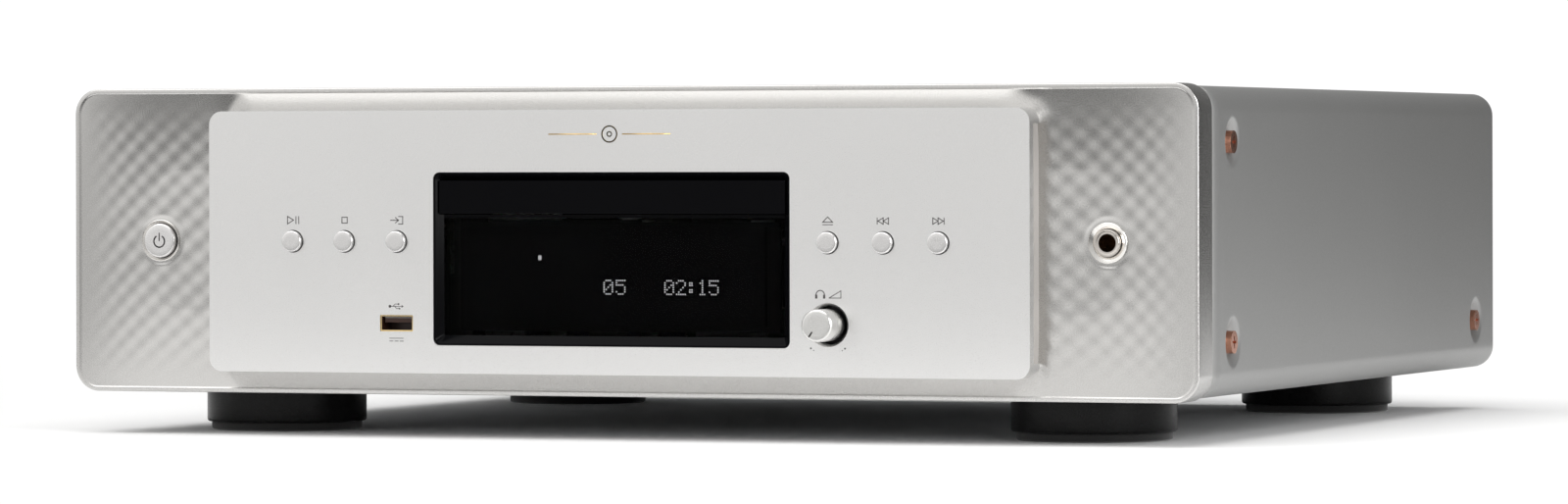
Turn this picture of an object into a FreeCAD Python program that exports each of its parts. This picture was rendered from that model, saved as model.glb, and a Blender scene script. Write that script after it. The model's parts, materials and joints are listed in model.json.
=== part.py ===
"""Full-width compact disc player: a rounded casing on four round feet, a dished front frame with a raised
control plate, a motor-driven disc tray above a display window, and the loader, boards and sockets inside.

Millimetres, +Z up. The front faces -Y. The origin is the bottom centre of the bounding box.
Every function below builds one named piece, and NODES at the end lists them.
"""

import FreeCAD
import Part

import math
import os

Vec = FreeCAD.Vector

# ---- driving dimensions -------------------------------------------------------------------------------
WIDTH = 442.0  # over the front frame
HEIGHT = 129.0  # floor to top of the front frame
DEPTH = 432.0  # knob face to the tips of the rear sockets
FOOT_GAP = 15.8  # floor to the underside of the front frame
KNOB_OUT = 12.0  # knob face in front of the control plate
PLATE_PROUD = 8.7  # control plate in front of the frame's rim
FRAME_DEPTH = 16.5
CASE_LENGTH = 404.0  # frame rim to the rear edge of the cover
COVER_INSET = 0.8  # cover smaller than the frame, all round
SHEET = 1.5  # cover thickness
CHASSIS_SHEET = 1.2

# ---- planes worked out from them ----------------------------------------------------------------------
PLATE_Y = -DEPTH / 2 + KNOB_OUT
RIM_Y = PLATE_Y + PLATE_PROUD
FRAME_BACK_Y = RIM_Y + FRAME_DEPTH
REAR_Y = RIM_Y + CASE_LENGTH
TIP_Y = DEPTH / 2
FRAME_Z0 = FOOT_GAP
FRAME_Z1 = HEIGHT
COVER_X = WIDTH / 2 - COVER_INSET
COVER_Z0 = FRAME_Z0 + COVER_INSET
COVER_Z1 = FRAME_Z1 - COVER_INSET
FLOOR_Z = COVER_Z0 + SHEET + 0.1  # underside of the chassis floor
DECK_Z = FLOOR_Z + CHASSIS_SHEET  # top of the chassis floor
PANEL_Y0 = REAR_Y - SHEET - 0.1 - CHASSIS_SHEET
PANEL_Y1 = PANEL_Y0 + CHASSIS_SHEET

# ---- front frame and control plate --------------------------------------------------------------------
FRAME_RADIUS = 9.5
FRAME_WALL = 3.0
DISH_DEPTH = 3.1
DISH_LIP = 1.8  # flat rim round the dish
DISH_SLOPE = 12.0  # width of the sloping border of the dish
PLATE_OPENING = (150.0, 30.0, 114.0)  # half width, bottom and top of the opening behind the plate
POWER_HOLE_R = 7.0
PHONES_HOLE_R = 5.3
PLATE_X = 161.0
PLATE_Z0 = 24.0
PLATE_Z1 = 120.4
PLATE_RADIUS = 5.0
PLATE_THICK = PLATE_PROUD + DISH_DEPTH
PLATE_SKIN = 4.0  # front wall of the plate
PLATE_EDGE = 6.0  # border wall of the plate
CONTROL_Z = 72.3  # height of the button row, power button and phones socket
BUTTON_X = (84.6, 105.7, 126.7)
BUTTON_R = 3.9
BUTTON_HOLE_R = 4.2
BUTTON_OUT = 2.0
SIDE_CONTROL_X = 186.5  # power button on the left, phones socket on the right
KNOB_X = 84.6
KNOB_Z = 42.8
KNOB_R = 5.8
KNOB_HOLE_R = 7.0
USB_X = -84.8
USB_Z = 42.3

# ---- window, display and tray door --------------------------------------------------------------------
WINDOW_X = 70.0
WINDOW_Z0 = 34.3
WINDOW_Z1 = 97.7
WINDOW_RADIUS = 2.5
LENS_X = 67.0
LENS_Z0 = 38.0
LENS_Z1 = 81.0
LENS_SETBACK = 3.2
DOOR_GAP = 0.35  # round the tray door
DOOR_RECESS = 0.9  # door face behind the plate face
TRAY_SLOT_X = 68.2
TRAY_SLOT_Z0 = 82.2
TRAY_SLOT_Z1 = 95.0

# ---- loader -------------------------------------------------------------------------------------------
TRAY_X = 65.0
TRAY_Z0 = 82.6
TRAY_FLOOR_Z0 = 86.5
WELL_Z = 88.3
SMALL_WELL_Z = 87.5
TRAY_Z1 = 93.6
TRAY_FRONT_Y = PLATE_Y + 3.6
TRAY_LENGTH = 175.0
WELL_R = 60.5
SMALL_WELL_R = 40.5
DISC_Y = TRAY_FRONT_Y + 67.0  # disc centre with the tray closed
CHANNEL_X = 21.0  # half width of the turntable channel through the tray
RAIL_X = 66.5  # inner face of the loader's side walls
RAIL_WALL = 3.0
LOADER_Y0 = -186.0
LOADER_Y1 = -18.0
PLATFORM_Z0 = 74.5
PLATFORM_Z1 = 76.5
OPENING_X = 37.0
MODULE = 1.0
PINION_TEETH = 24
PINION_X = -47.0
PINION_Y = -170.0
PULLEY_R = 13.0
MOTOR_X = -5.0
MOTOR_Y = -172.0
MOTOR_PULLEY_R = 3.0
BELT_Z = 79.5
TRAVERSE_Z0 = 70.0
TRAVERSE_Z1 = 71.5
TRAVERSE_HINGE_Y = -28.0
HINGE_Z = (TRAVERSE_Z0 + TRAVERSE_Z1) / 2
PIN_R = 1.5
PIN_CLEARANCE = 0.08
SHAFT_CLEARANCE = 0.05
LEAD_SCREW_R = 1.9
ROD_X = 27.0
ROD_Z = 76.5
SCREW_X = -20.0
SUPPORT_Z = 90.0  # underside of a disc on the turntable
ARM_Z0 = 98.3
ARM_Z1 = 100.1
ARM_HINGE_Y = -24.0
ARM_HINGE_Z = (ARM_Z0 + ARM_Z1) / 2

# ---- feet and fasteners -------------------------------------------------------------------------------
FOOT_R = 30.3
FOOT_X = 162.0
FOOT_Y = (RIM_Y + 60.4, RIM_Y + 346.2)
PAD_R = 27.3
PAD_Z = 3.0
SIDE_SCREW_SPOTS = ((RIM_Y + 43.0, 108.1), (RIM_Y + 43.0, 36.4), (RIM_Y + 376.0, 36.4))
SCREW_HEAD_R = 4.1
SCREW_HEAD = 2.9
SCREW_R = 1.9
DIMPLE_R = 7.6
DIMPLE_DEPTH = 2.4
FOOT_SCREW_R = 2.0
REAR_SCREW_X = (-190.0, -63.0, 63.0, 190.0)
REAR_SCREW_Z = 117.0
REAR_SCREW_R = 1.6

# ---- rear ---------------------------------------------------------------------------------------------
PHONO_SPOTS = ((-150.0, 84.0), (-150.0, 62.0), (-104.0, 73.0))
PHONO_R = 4.15
PHONO_BORE_R = 1.65
MINIJACK_SPOTS = ((-20.0, 73.0), (0.0, 73.0), (40.0, 73.0))
MINIJACK_R = 1.8
OPTICAL_X = -70.0
SWITCH_X = 19.0
SWITCH_TRAVEL = 2.0
REAR_CONTROL_Z = 73.0
INLET_X = 165.0
INLET_Z = 56.0
INLET_FLANGE = (16.0, 12.5)  # half width and half height
INLET_SHROUD = (13.5, 9.8)
INLET_WELL = (12.2, 8.4)
INLET_DEPTH = 19.0  # shroud behind the panel
BLADE_X = 7.0
PHONO_HOLE_R = 5.4
MINIJACK_HOLE_R = 3.1
MAINS_SEAM_X = 128.0  # seam between the two sheets of the back panel
REAR_CUTOUT_GAP = 0.1  # between a socket and its cut-out


def box(x0, x1, y0, y1, z0, z1):
    return Part.makeBox(x1 - x0, y1 - y0, z1 - z0, Vec(x0, y0, z0))


def mirrored_boxes(x0, x1, y0, y1, z0, z1):
    """The same block on the right and on the left."""
    return [box(x0, x1, y0, y1, z0, z1), box(-x1, -x0, y0, y1, z0, z1)]


def cyl_x(r, y, z, x0, x1):
    return Part.makeCylinder(r, x1 - x0, Vec(x0, y, z), Vec(1, 0, 0))


def cyl_y(r, x, z, y0, y1):
    return Part.makeCylinder(r, y1 - y0, Vec(x, y0, z), Vec(0, 1, 0))


def cyl_z(r, x, y, z0, z1):
    return Part.makeCylinder(r, z1 - z0, Vec(x, y, z0), Vec(0, 0, 1))


def cone_y(r0, r1, x, z, y0, y1):
    return Part.makeCone(r0, r1, y1 - y0, Vec(x, y0, z), Vec(0, 1, 0))


def fuse(first, *others):
    shape = first
    for other in others:
        shape = shape.fuse(other)
    return shape.removeSplitter()


def cut(shape, *tools):
    for tool in tools:
        shape = shape.cut(tool)
    return shape


def rounded_wire(x0, x1, z0, z1, r, y):
    """A rounded rectangle standing in the plane Y = y."""
    k = r * math.sqrt(0.5)
    left, right, low, high = x0 + r, x1 - r, z0 + r, z1 - r
    corners = ((right, high, 1, 1), (left, high, -1, 1), (left, low, -1, -1), (right, low, 1, -1))
    edges = []
    last = None
    first = None
    for cx, cz, sx, sz in corners:
        side, up, mid = Vec(cx + sx * r, y, cz), Vec(cx, y, cz + sz * r), Vec(cx + sx * k, y, cz + sz * k)
        start, end = (side, up) if sx * sz > 0 else (up, side)
        if last is not None:
            edges.append(Part.LineSegment(last, start).toShape())
        else:
            first = start
        edges.append(Part.Arc(start, mid, end).toShape())
        last = end
    edges.append(Part.LineSegment(last, first).toShape())
    return Part.Wire(edges)


def rounded_slab(x0, x1, z0, z1, r, y0, y1):
    """A plate with rounded corners in the front view, from y0 to y1."""
    return Part.Face(rounded_wire(x0, x1, z0, z1, r, y0)).extrude(Vec(0, y1 - y0, 0))


def tapered_slab(outer, inner, y0, y1):
    """A straight loft from one rounded rectangle (x0, x1, z0, z1, r) to another."""
    return Part.makeLoft([rounded_wire(*outer, y0), rounded_wire(*inner, y1)], True, True)


def polygon_z(points, z0, z1):
    wire = Part.makePolygon([Vec(x, y, z0) for x, y in points + points[:1]])
    return Part.Face(wire).extrude(Vec(0, 0, z1 - z0))


# ---- front --------------------------------------------------------------------------------------------
def front_frame():
    half = WIDTH / 2
    body = rounded_slab(-half, half, FRAME_Z0, FRAME_Z1, FRAME_RADIUS, RIM_Y, FRAME_BACK_Y)
    floor_y = RIM_Y + DISH_DEPTH
    lip = DISH_LIP
    edge = DISH_LIP + DISH_SLOPE
    mouth = (-half + lip, half - lip, FRAME_Z0 + lip, FRAME_Z1 - lip, FRAME_RADIUS - lip)
    base = (-half + edge, half - edge, FRAME_Z0 + 0.5 * edge, FRAME_Z1 - 0.5 * edge, FRAME_RADIUS)
    dish = tapered_slab(mouth, base, RIM_Y, floor_y)
    w = FRAME_WALL
    back = rounded_slab(
        -half + w, half - w, FRAME_Z0 + w, FRAME_Z1 - w, FRAME_RADIUS - w, floor_y + w, FRAME_BACK_Y
    )
    opening_x, opening_z0, opening_z1 = PLATE_OPENING
    middle = box(-opening_x, opening_x, RIM_Y, FRAME_BACK_Y, opening_z0, opening_z1)
    power_hole = cyl_y(POWER_HOLE_R, -SIDE_CONTROL_X, CONTROL_Z, RIM_Y, FRAME_BACK_Y)
    phones_hole = cyl_y(PHONES_HOLE_R, SIDE_CONTROL_X, CONTROL_Z, RIM_Y, FRAME_BACK_Y)
    return cut(body, dish, back, middle, power_hole, phones_hole)


def front_plate():
    back_y = PLATE_Y + PLATE_THICK
    body = rounded_slab(-PLATE_X, PLATE_X, PLATE_Z0, PLATE_Z1, PLATE_RADIUS, PLATE_Y, back_y)
    e = PLATE_EDGE
    pocket = rounded_slab(
        -PLATE_X + e, PLATE_X - e, PLATE_Z0 + e, PLATE_Z1 - e, 2.0, PLATE_Y + PLATE_SKIN, back_y
    )
    window = rounded_slab(-WINDOW_X, WINDOW_X, WINDOW_Z0, WINDOW_Z1, WINDOW_RADIUS, PLATE_Y, back_y)
    usb = rounded_slab(USB_X - 6.6, USB_X + 6.6, USB_Z - 3.0, USB_Z + 3.0, 0.3, PLATE_Y, back_y)
    buttons = [
        cyl_y(BUTTON_HOLE_R, side * x, CONTROL_Z, PLATE_Y, back_y) for x in BUTTON_X for side in (-1, 1)
    ]
    knob = cyl_y(KNOB_HOLE_R, KNOB_X, KNOB_Z, PLATE_Y, back_y)
    knob_chamfer = cone_y(KNOB_HOLE_R + 0.9, KNOB_HOLE_R, KNOB_X, KNOB_Z, PLATE_Y, PLATE_Y + 1.2)
    slots = mirrored_boxes(PLATE_X - 2.2, PLATE_X, PLATE_Y + 4.2, back_y, PLATE_Z0 + 5.4, PLATE_Z1 - 5.4)
    return cut(body, pocket, window, usb, knob, knob_chamfer, *buttons, *slots)


def light_guides():
    """Two clear strips let into the plate's ends, which light the frame's wings."""
    y0, y1 = PLATE_Y + 4.2, PLATE_Y + PLATE_THICK
    strips = mirrored_boxes(PLATE_X - 2.2, PLATE_X - 0.6, y0, y1, PLATE_Z0 + 5.4, PLATE_Z1 - 5.4)
    return Part.makeCompound(strips)


def window_bezel():
    """The black surround of the tray slot and the display lens, with sloping inner faces."""
    y0, y1 = PLATE_Y + 0.5, PLATE_Y + PLATE_THICK - 3.0
    gap = 0.1
    body = rounded_slab(
        -WINDOW_X + gap, WINDOW_X - gap, WINDOW_Z0 + gap, WINDOW_Z1 - gap, WINDOW_RADIUS - gap, y0, y1
    )
    mouth = (-WINDOW_X + 0.7, WINDOW_X - 0.7, WINDOW_Z0 + 0.7, WINDOW_Z1 - 0.7, 1.8)
    throat = (-LENS_X, LENS_X, LENS_Z0, TRAY_SLOT_Z1, 0.6)
    slope = tapered_slab(mouth, throat, y0, PLATE_Y + LENS_SETBACK)
    lens_hole = box(-LENS_X, LENS_X, PLATE_Y + LENS_SETBACK, y1, LENS_Z0, LENS_Z1)
    tray_hole = box(-TRAY_SLOT_X, TRAY_SLOT_X, y0, y1, TRAY_SLOT_Z0, TRAY_SLOT_Z1)
    return cut(body, slope, lens_hole, tray_hole)


def display_lens():
    g = 0.1
    y0 = PLATE_Y + LENS_SETBACK
    return box(-LENS_X + g, LENS_X - g, y0, y0 + 2.0, LENS_Z0 + g, LENS_Z1 - g)


def display_module():
    """Glass display panel on its own small board, behind the lens."""
    y0 = PLATE_Y + 6.2
    glass = box(-58, 58, y0, y0 + 3.0, 42.0, 78.0)
    board = box(-63, 63, y0 + 3.0, y0 + 4.6, 39.5, 79.5)
    return fuse(glass, board)


def button(x):
    cap = cyl_y(BUTTON_R, x, CONTROL_Z, PLATE_Y - BUTTON_OUT, PLATE_Y + 5.0)
    flange = cyl_y(5.0, x, CONTROL_Z, PLATE_Y + 4.4, PLATE_Y + 6.0)
    return fuse(cap, flange).makeFillet(0.5, [cap_edge(cap, PLATE_Y - BUTTON_OUT)])


def cap_edge(shape, y):
    """The round edge of a shape in the plane Y = y."""
    return [e for e in shape.Edges if abs(e.BoundBox.YMin - y) < 1e-6 and abs(e.BoundBox.YMax - y) < 1e-6][0]


def power_button():
    face_y = RIM_Y + DISH_DEPTH - 2.2
    cap = cyl_y(6.4, -SIDE_CONTROL_X, CONTROL_Z, face_y, RIM_Y + DISH_DEPTH + 7.0)
    foot = cyl_y(4.0, -SIDE_CONTROL_X, CONTROL_Z, RIM_Y + DISH_DEPTH + 7.0, RIM_Y + DISH_DEPTH + 9.5)
    return fuse(cap, foot)


def power_ring():
    """Trim ring: a collar in the frame's hole with a bevelled flange on the dish."""
    y = RIM_Y + DISH_DEPTH
    flange = cone_y(7.2, 7.8, -SIDE_CONTROL_X, CONTROL_Z, y - 1.3, y)
    collar = cyl_y(6.9, -SIDE_CONTROL_X, CONTROL_Z, y, y + FRAME_WALL + 1.0)
    bore = cyl_y(6.6, -SIDE_CONTROL_X, CONTROL_Z, y - 1.3, y + FRAME_WALL + 1.0)
    return cut(fuse(flange, collar), bore)


def phones_ring():
    y = RIM_Y + DISH_DEPTH
    return cut(
        cone_y(6.7, 7.3, SIDE_CONTROL_X, CONTROL_Z, y - 1.3, y),
        cone_y(6.3, 5.1, SIDE_CONTROL_X, CONTROL_Z, y - 1.3, y),
    )


def phones_socket():
    """6.35 mm stereo socket: threaded nose through the frame, square body behind it."""
    y = RIM_Y + DISH_DEPTH
    x = SIDE_CONTROL_X
    nose = cyl_y(5.0, x, CONTROL_Z, y - 1.6, y + FRAME_WALL + 2.0)
    body = box(x - 8, x + 8, y + FRAME_WALL + 1.0, y + 33.0, CONTROL_Z - 8, CONTROL_Z + 8)
    return cut(fuse(nose, body), cyl_y(3.25, x, CONTROL_Z, y - 1.6, y + 31.4))


def level_knob():
    """Knob cap: 12 mm out of the plate, hollow behind for the shaft."""
    cap = cyl_y(KNOB_R, KNOB_X, KNOB_Z, PLATE_Y - KNOB_OUT, PLATE_Y + 1.0)
    rounded = cap.makeFillet(0.6, [cap_edge(cap, PLATE_Y - KNOB_OUT)])
    return cut(rounded, cyl_y(3.0, KNOB_X, KNOB_Z, PLATE_Y - 8.0, PLATE_Y + 1.0))


def pot_shaft():
    return cyl_y(3.0, KNOB_X, KNOB_Z, PLATE_Y - 8.0, PLATE_Y + 15.0)


def level_pot():
    """Rotary potentiometer behind the plate, with the bush that the shaft turns in."""
    y0 = PLATE_Y + 10.0
    body = box(KNOB_X - 8, KNOB_X + 8, y0, y0 + 8.0, KNOB_Z - 9, KNOB_Z + 8)
    bush = cyl_y(4.5, KNOB_X, KNOB_Z, y0 - 4.5, y0)
    return cut(fuse(body, bush), cyl_y(3.06, KNOB_X, KNOB_Z, y0 - 4.5, y0 + 5.6))


def usb_port():
    """Type A receptacle: a sheet metal shell with a contact tongue at the top."""
    y0, y1 = PLATE_Y + 0.4, PLATE_Y + 14.4
    shell = box(USB_X - 6.5, USB_X + 6.5, y0, y1, USB_Z - 2.9, USB_Z + 2.9)
    inside = box(USB_X - 6.1, USB_X + 6.1, y0, y1 - 1.0, USB_Z - 2.5, USB_Z + 2.5)
    tongue = box(USB_X - 5.4, USB_X + 5.4, y0 + 1.5, y1 - 1.0, USB_Z + 0.3, USB_Z + 2.1)
    return fuse(cut(shell, inside), tongue)


def front_board():
    """Control board behind the plate, with a tact switch behind each button and the USB port on it."""
    y0 = PLATE_Y + 14.4
    wings = mirrored_boxes(73, 148, y0, y0 + 1.6, 33, 110)
    cleared = [cut(w, cyl_y(4.0, KNOB_X, KNOB_Z, y0, y0 + 1.6)) for w in wings]
    pot_gap = box(KNOB_X - 9, KNOB_X + 9, y0, y0 + 1.6, KNOB_Z - 10, KNOB_Z + 9)
    cleared = [cut(w, pot_gap) for w in cleared]
    strip = box(-73, 73, y0, y0 + 1.6, 99, 110)
    board = fuse(cleared[0], cleared[1], strip)
    switches = []
    for side in (-1, 1):
        for x in BUTTON_X:
            body = box(side * x - 3, side * x + 3, y0 - 5.4, y0, CONTROL_Z - 3, CONTROL_Z + 3)
            switches.append(fuse(body, cyl_y(1.6, side * x, CONTROL_Z, y0 - 7.2, y0 - 5.4)))
    return fuse(board, *switches)


def power_switch():
    """Push switch behind the power button, on a small bracket."""
    x, y0 = -SIDE_CONTROL_X, FRAME_BACK_Y + 1.7
    body = box(x - 7, x + 7, y0, y0 + 14, CONTROL_Z - 6, CONTROL_Z + 6)
    plunger = cyl_y(2.0, x, CONTROL_Z, y0 - 2.0, y0)
    board = box(x - 14, x + 14, y0 + 14, y0 + 15.6, CONTROL_Z - 14, CONTROL_Z + 14)
    return fuse(body, plunger, board)


def phones_board():
    """Headphone amplifier board behind the phones socket."""
    x, y0 = SIDE_CONTROL_X, RIM_Y + DISH_DEPTH + 33.0
    board = box(x - 20, x + 16, y0, y0 + 1.6, CONTROL_Z - 24, CONTROL_Z + 18)
    amplifier = box(x - 14, x - 4, y0 + 1.6, y0 + 4.0, CONTROL_Z - 6, CONTROL_Z + 6)
    return fuse(board, amplifier)


# ---- casing -------------------------------------------------------------------------------------------
CORNER_R = 9.0  # of the cover, seen from the front


def casing_solid(inset, y0, y1):
    """The space inside the casing's outer surface, shrunk by inset."""
    return rounded_slab(
        -COVER_X + inset, COVER_X - inset, COVER_Z0 + inset, COVER_Z1 - inset, CORNER_R - inset, y0, y1
    )


def dimple(side, y, z, depth, r):
    """A dish pressed into the cover's side, as the solid that it takes away."""
    x = side * COVER_X
    return Part.makeCone(r, r - 0.9 * depth, depth, Vec(x, y, z), Vec(-side, 0, 0))


def cover():
    """Wrap-round steel cover: top, both sides with a return under the bottom, and a narrow rear lip."""
    shell = casing_solid(0, FRAME_BACK_Y, REAR_Y).cut(casing_solid(SHEET, FRAME_BACK_Y, REAR_Y - SHEET))
    for side in (-1, 1):
        for y, z in SIDE_SCREW_SPOTS:
            shell = shell.fuse(dimple(side, y, z, DIMPLE_DEPTH + 1.2, DIMPLE_R + 1.0))
    for side in (-1, 1):
        for y, z in SIDE_SCREW_SPOTS:
            hole = cyl_x(SCREW_R + 0.2, y, z, -COVER_X - 1, COVER_X + 1)
            shell = cut(shell, dimple(side, y, z, DIMPLE_DEPTH, DIMPLE_R), hole)
    under = box(-206, 206, FRAME_BACK_Y, REAR_Y, COVER_Z0 - 1, 26.0)
    rear = box(-COVER_X + 6, COVER_X - 6, REAR_Y - SHEET, REAR_Y, 26.0, 114.0)
    holes = [cyl_y(REAR_SCREW_R + 0.3, x, REAR_SCREW_Z, REAR_Y - SHEET, REAR_Y) for x in REAR_SCREW_X]
    return cut(shell, under, rear, *holes)


VENT_ROWS = 3
VENTS_PER_ROW = 8


def bottom_chassis():
    """Folded steel tray: floor with vents, side walls that take the cover screws, and a front wall."""
    wall_x = COVER_X - DIMPLE_DEPTH - 1.3
    y0, y1 = FRAME_BACK_Y, PANEL_Y0
    t = CHASSIS_SHEET
    fold_r = 6.0
    top = 117.0
    side_top = 46.0
    front_length = 36.0  # of the taller part of the side walls, behind the front frame
    outer = rounded_slab(-wall_x, wall_x, FLOOR_Z, top, fold_r, y0, y1)
    inner = rounded_slab(-wall_x + t, wall_x - t, DECK_Z, top - t, fold_r - t, y0 + t, y1)
    low = box(-wall_x, wall_x, y0 + front_length, y1, side_top, top)
    lid = box(-wall_x + fold_r, wall_x - fold_r, y0 + t, y0 + front_length, top - 2 * t, top)
    front_gap = box(-152, 152, y0, y0 + t, 32, 112)
    sockets = [
        cyl_y(9.5, -SIDE_CONTROL_X, CONTROL_Z, y0, y0 + t),
        box(SIDE_CONTROL_X - 9, SIDE_CONTROL_X + 9, y0, y0 + t, CONTROL_Z - 9, CONTROL_Z + 9),
    ]
    vents = []
    for row in range(VENT_ROWS):
        for i in range(VENTS_PER_ROW):
            x, y = 126.0 + 9.0 * i, -90.0 + 30.0 * row
            vents.append(box(x, x + 3, y, y + 22, FLOOR_Z, DECK_Z))
    taps = [cyl_x(SCREW_R, y, z, -COVER_X, COVER_X) for y, z in SIDE_SCREW_SPOTS]
    taps += [cyl_z(FOOT_SCREW_R, x, y, FLOOR_Z, DECK_Z) for x, y in foot_spots()]
    return cut(outer, inner, low, lid, front_gap, *sockets, *vents, *taps)


def rear_panel():
    """Steel back panel in two sheets, with a cut-out for each socket; the mains inlet has its own sheet."""
    body = fuse(
        box(-204, 204, PANEL_Y0, PANEL_Y1, FLOOR_Z, 119.8),
        box(-216, 216, PANEL_Y0, PANEL_Y1, 24.0, 119.8),
    )
    holes = [cyl_y(PHONO_HOLE_R, x, z, PANEL_Y0, PANEL_Y1) for x, z in PHONO_SPOTS]
    holes += [cyl_y(MINIJACK_HOLE_R, x, z, PANEL_Y0, PANEL_Y1) for x, z in MINIJACK_SPOTS]
    holes += [cyl_y(REAR_SCREW_R, x, REAR_SCREW_Z, PANEL_Y0, PANEL_Y1) for x in REAR_SCREW_X]
    z = REAR_CONTROL_Z
    holes.append(box(OPTICAL_X - 5.2, OPTICAL_X + 5.2, PANEL_Y0, PANEL_Y1, z - 5.2, z + 5.2))
    slot_x0, slot_x1 = SWITCH_X - 2.0, SWITCH_X + 2.0 + SWITCH_TRAVEL
    holes.append(box(slot_x0, slot_x1, PANEL_Y0, PANEL_Y1, z - 2, z + 2))
    holes.append(box(MAINS_SEAM_X, MAINS_SEAM_X + REAR_CUTOUT_GAP, PANEL_Y0, PANEL_Y1, FLOOR_Z, FRAME_Z1))
    w, h = (half + REAR_CUTOUT_GAP for half in INLET_SHROUD)
    holes.append(box(INLET_X - w, INLET_X + w, PANEL_Y0, PANEL_Y1, INLET_Z - h, INLET_Z + h))
    return cut(body, *holes)


def foot_spots():
    return [(side * FOOT_X, y) for y in FOOT_Y for side in (-1, 1)]


SCREW_SEAT_Z = PAD_Z + 7.0


def feet():
    """Four moulded feet, each with a deep counterbore for its screw."""
    bodies = []
    for x, y in foot_spots():
        body = cyl_z(FOOT_R, x, y, PAD_Z, FLOOR_Z)
        bore = cyl_z(FOOT_SCREW_R + 0.2, x, y, PAD_Z, FLOOR_Z)
        bodies.append(cut(body, bore, cyl_z(4.6, x, y, PAD_Z, SCREW_SEAT_Z)))
    return Part.makeCompound(bodies)


def foot_pads():
    pads = [cut(cyl_z(PAD_R, x, y, 0, PAD_Z), cyl_z(6.0, x, y, 0, PAD_Z)) for x, y in foot_spots()]
    return Part.makeCompound(pads)


def foot_screws():
    """Pan-head screws up through the feet into the chassis floor."""
    screws = []
    for x, y in foot_spots():
        head = cyl_z(4.0, x, y, SCREW_SEAT_Z - 2.6, SCREW_SEAT_Z)
        screws.append(fuse(head, cyl_z(FOOT_SCREW_R, x, y, SCREW_SEAT_Z, DECK_Z + 2.5)))
    return Part.makeCompound(screws)


def cross_slot(shape, centre, axis):
    """Cuts a cross recess 1.2 mm deep into a screw head whose face is at centre."""
    long, short, depth = 2.2, 0.45, 1.2
    for a, b in ((long, short), (short, long)):
        half = Vec(depth, a, b) if axis == "x" else Vec(a, depth, b)
        shape = shape.cut(Part.makeBox(2 * half.x, 2 * half.y, 2 * half.z, centre - half))
    return shape


def side_screws():
    """Plated screws whose heads sit in the cover's dimples, three on each side."""
    screws = []
    for side in (-1, 1):
        base = side * (COVER_X - DIMPLE_DEPTH)
        face = base + side * SCREW_HEAD
        tip = base - side * 6.0
        for y, z in SIDE_SCREW_SPOTS:
            head = cyl_x(SCREW_HEAD_R, y, z, min(base, face), max(base, face))
            shank = cyl_x(SCREW_R, y, z, min(base, tip), max(base, tip))
            screws.append(cross_slot(fuse(head, shank), Vec(face, y, z), "x"))
    return Part.makeCompound(screws)


def rear_screws():
    """Screws through the cover's rear lip into the rear panel."""
    screws = []
    face_y = REAR_Y + 2.0
    for x in REAR_SCREW_X:
        head = cyl_y(3.4, x, REAR_SCREW_Z, REAR_Y, face_y)
        body = fuse(head, cyl_y(REAR_SCREW_R, x, REAR_SCREW_Z, REAR_Y - 7.0, REAR_Y))
        screws.append(cross_slot(body, Vec(x, face_y, REAR_SCREW_Z), "y"))
    return Part.makeCompound(screws)

# ---- loader -------------------------------------------------------------------------------------------
def tray():
    """Disc drawer: wells for 12 cm and 8 cm discs, a channel for the turntable, a rack at the left."""
    y0, y1 = TRAY_FRONT_Y, TRAY_FRONT_Y + TRAY_LENGTH
    deck = box(-TRAY_X, TRAY_X, y0, y1, TRAY_FLOOR_Z0, TRAY_Z1)
    wells = [cyl_z(WELL_R, 0, DISC_Y, WELL_Z, TRAY_Z1), cyl_z(SMALL_WELL_R, 0, DISC_Y, SMALL_WELL_Z, TRAY_Z1)]
    channel = [
        cyl_z(CHANNEL_X, 0, DISC_Y, TRAY_FLOOR_Z0, TRAY_Z1),
        box(-CHANNEL_X, CHANNEL_X, DISC_Y, y1, TRAY_FLOOR_Z0, TRAY_Z1),
    ]
    lightening = mirrored_boxes(26, 58, DISC_Y + 72, y1 - 4, WELL_Z, TRAY_Z1)
    deck = cut(deck, *wells, *channel, *lightening)
    skirts = mirrored_boxes(TRAY_X - 2.5, TRAY_X, y0, y1, TRAY_Z0, TRAY_FLOOR_Z0)
    nose = box(-TRAY_X, TRAY_X, y0, y0 + 2.0, TRAY_Z0, TRAY_FLOOR_Z0)
    return fuse(deck, *skirts, nose, rack())


def rack():
    """Straight teeth along the tray, facing right, with a gap opposite the pinion's axis."""
    pitch = math.pi * MODULE
    pitch_x = PINION_X - MODULE * PINION_TEETH / 2
    root_x = pitch_x - 1.25 * MODULE
    tip_x = pitch_x + 0.95 * MODULE
    slope = math.tan(math.radians(20))
    half = pitch / 4 - 0.12  # half a tooth at the pitch line, less backlash
    first, last = -5, 44
    points = [(-TRAY_X + 2.5, PINION_Y + first * pitch), (root_x, PINION_Y + first * pitch)]
    for i in range(first, last):
        mid = PINION_Y + (i + 0.5) * pitch
        root_half = half + (pitch_x - root_x) * slope
        tip_half = half - (tip_x - pitch_x) * slope
        points += [(root_x, mid - root_half), (tip_x, mid - tip_half), (tip_x, mid + tip_half)]
        points += [(root_x, mid + root_half)]
    points += [(root_x, PINION_Y + last * pitch), (-TRAY_X + 2.5, PINION_Y + last * pitch)]
    return polygon_z(points, TRAY_Z0, TRAY_FLOOR_Z0)


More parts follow.
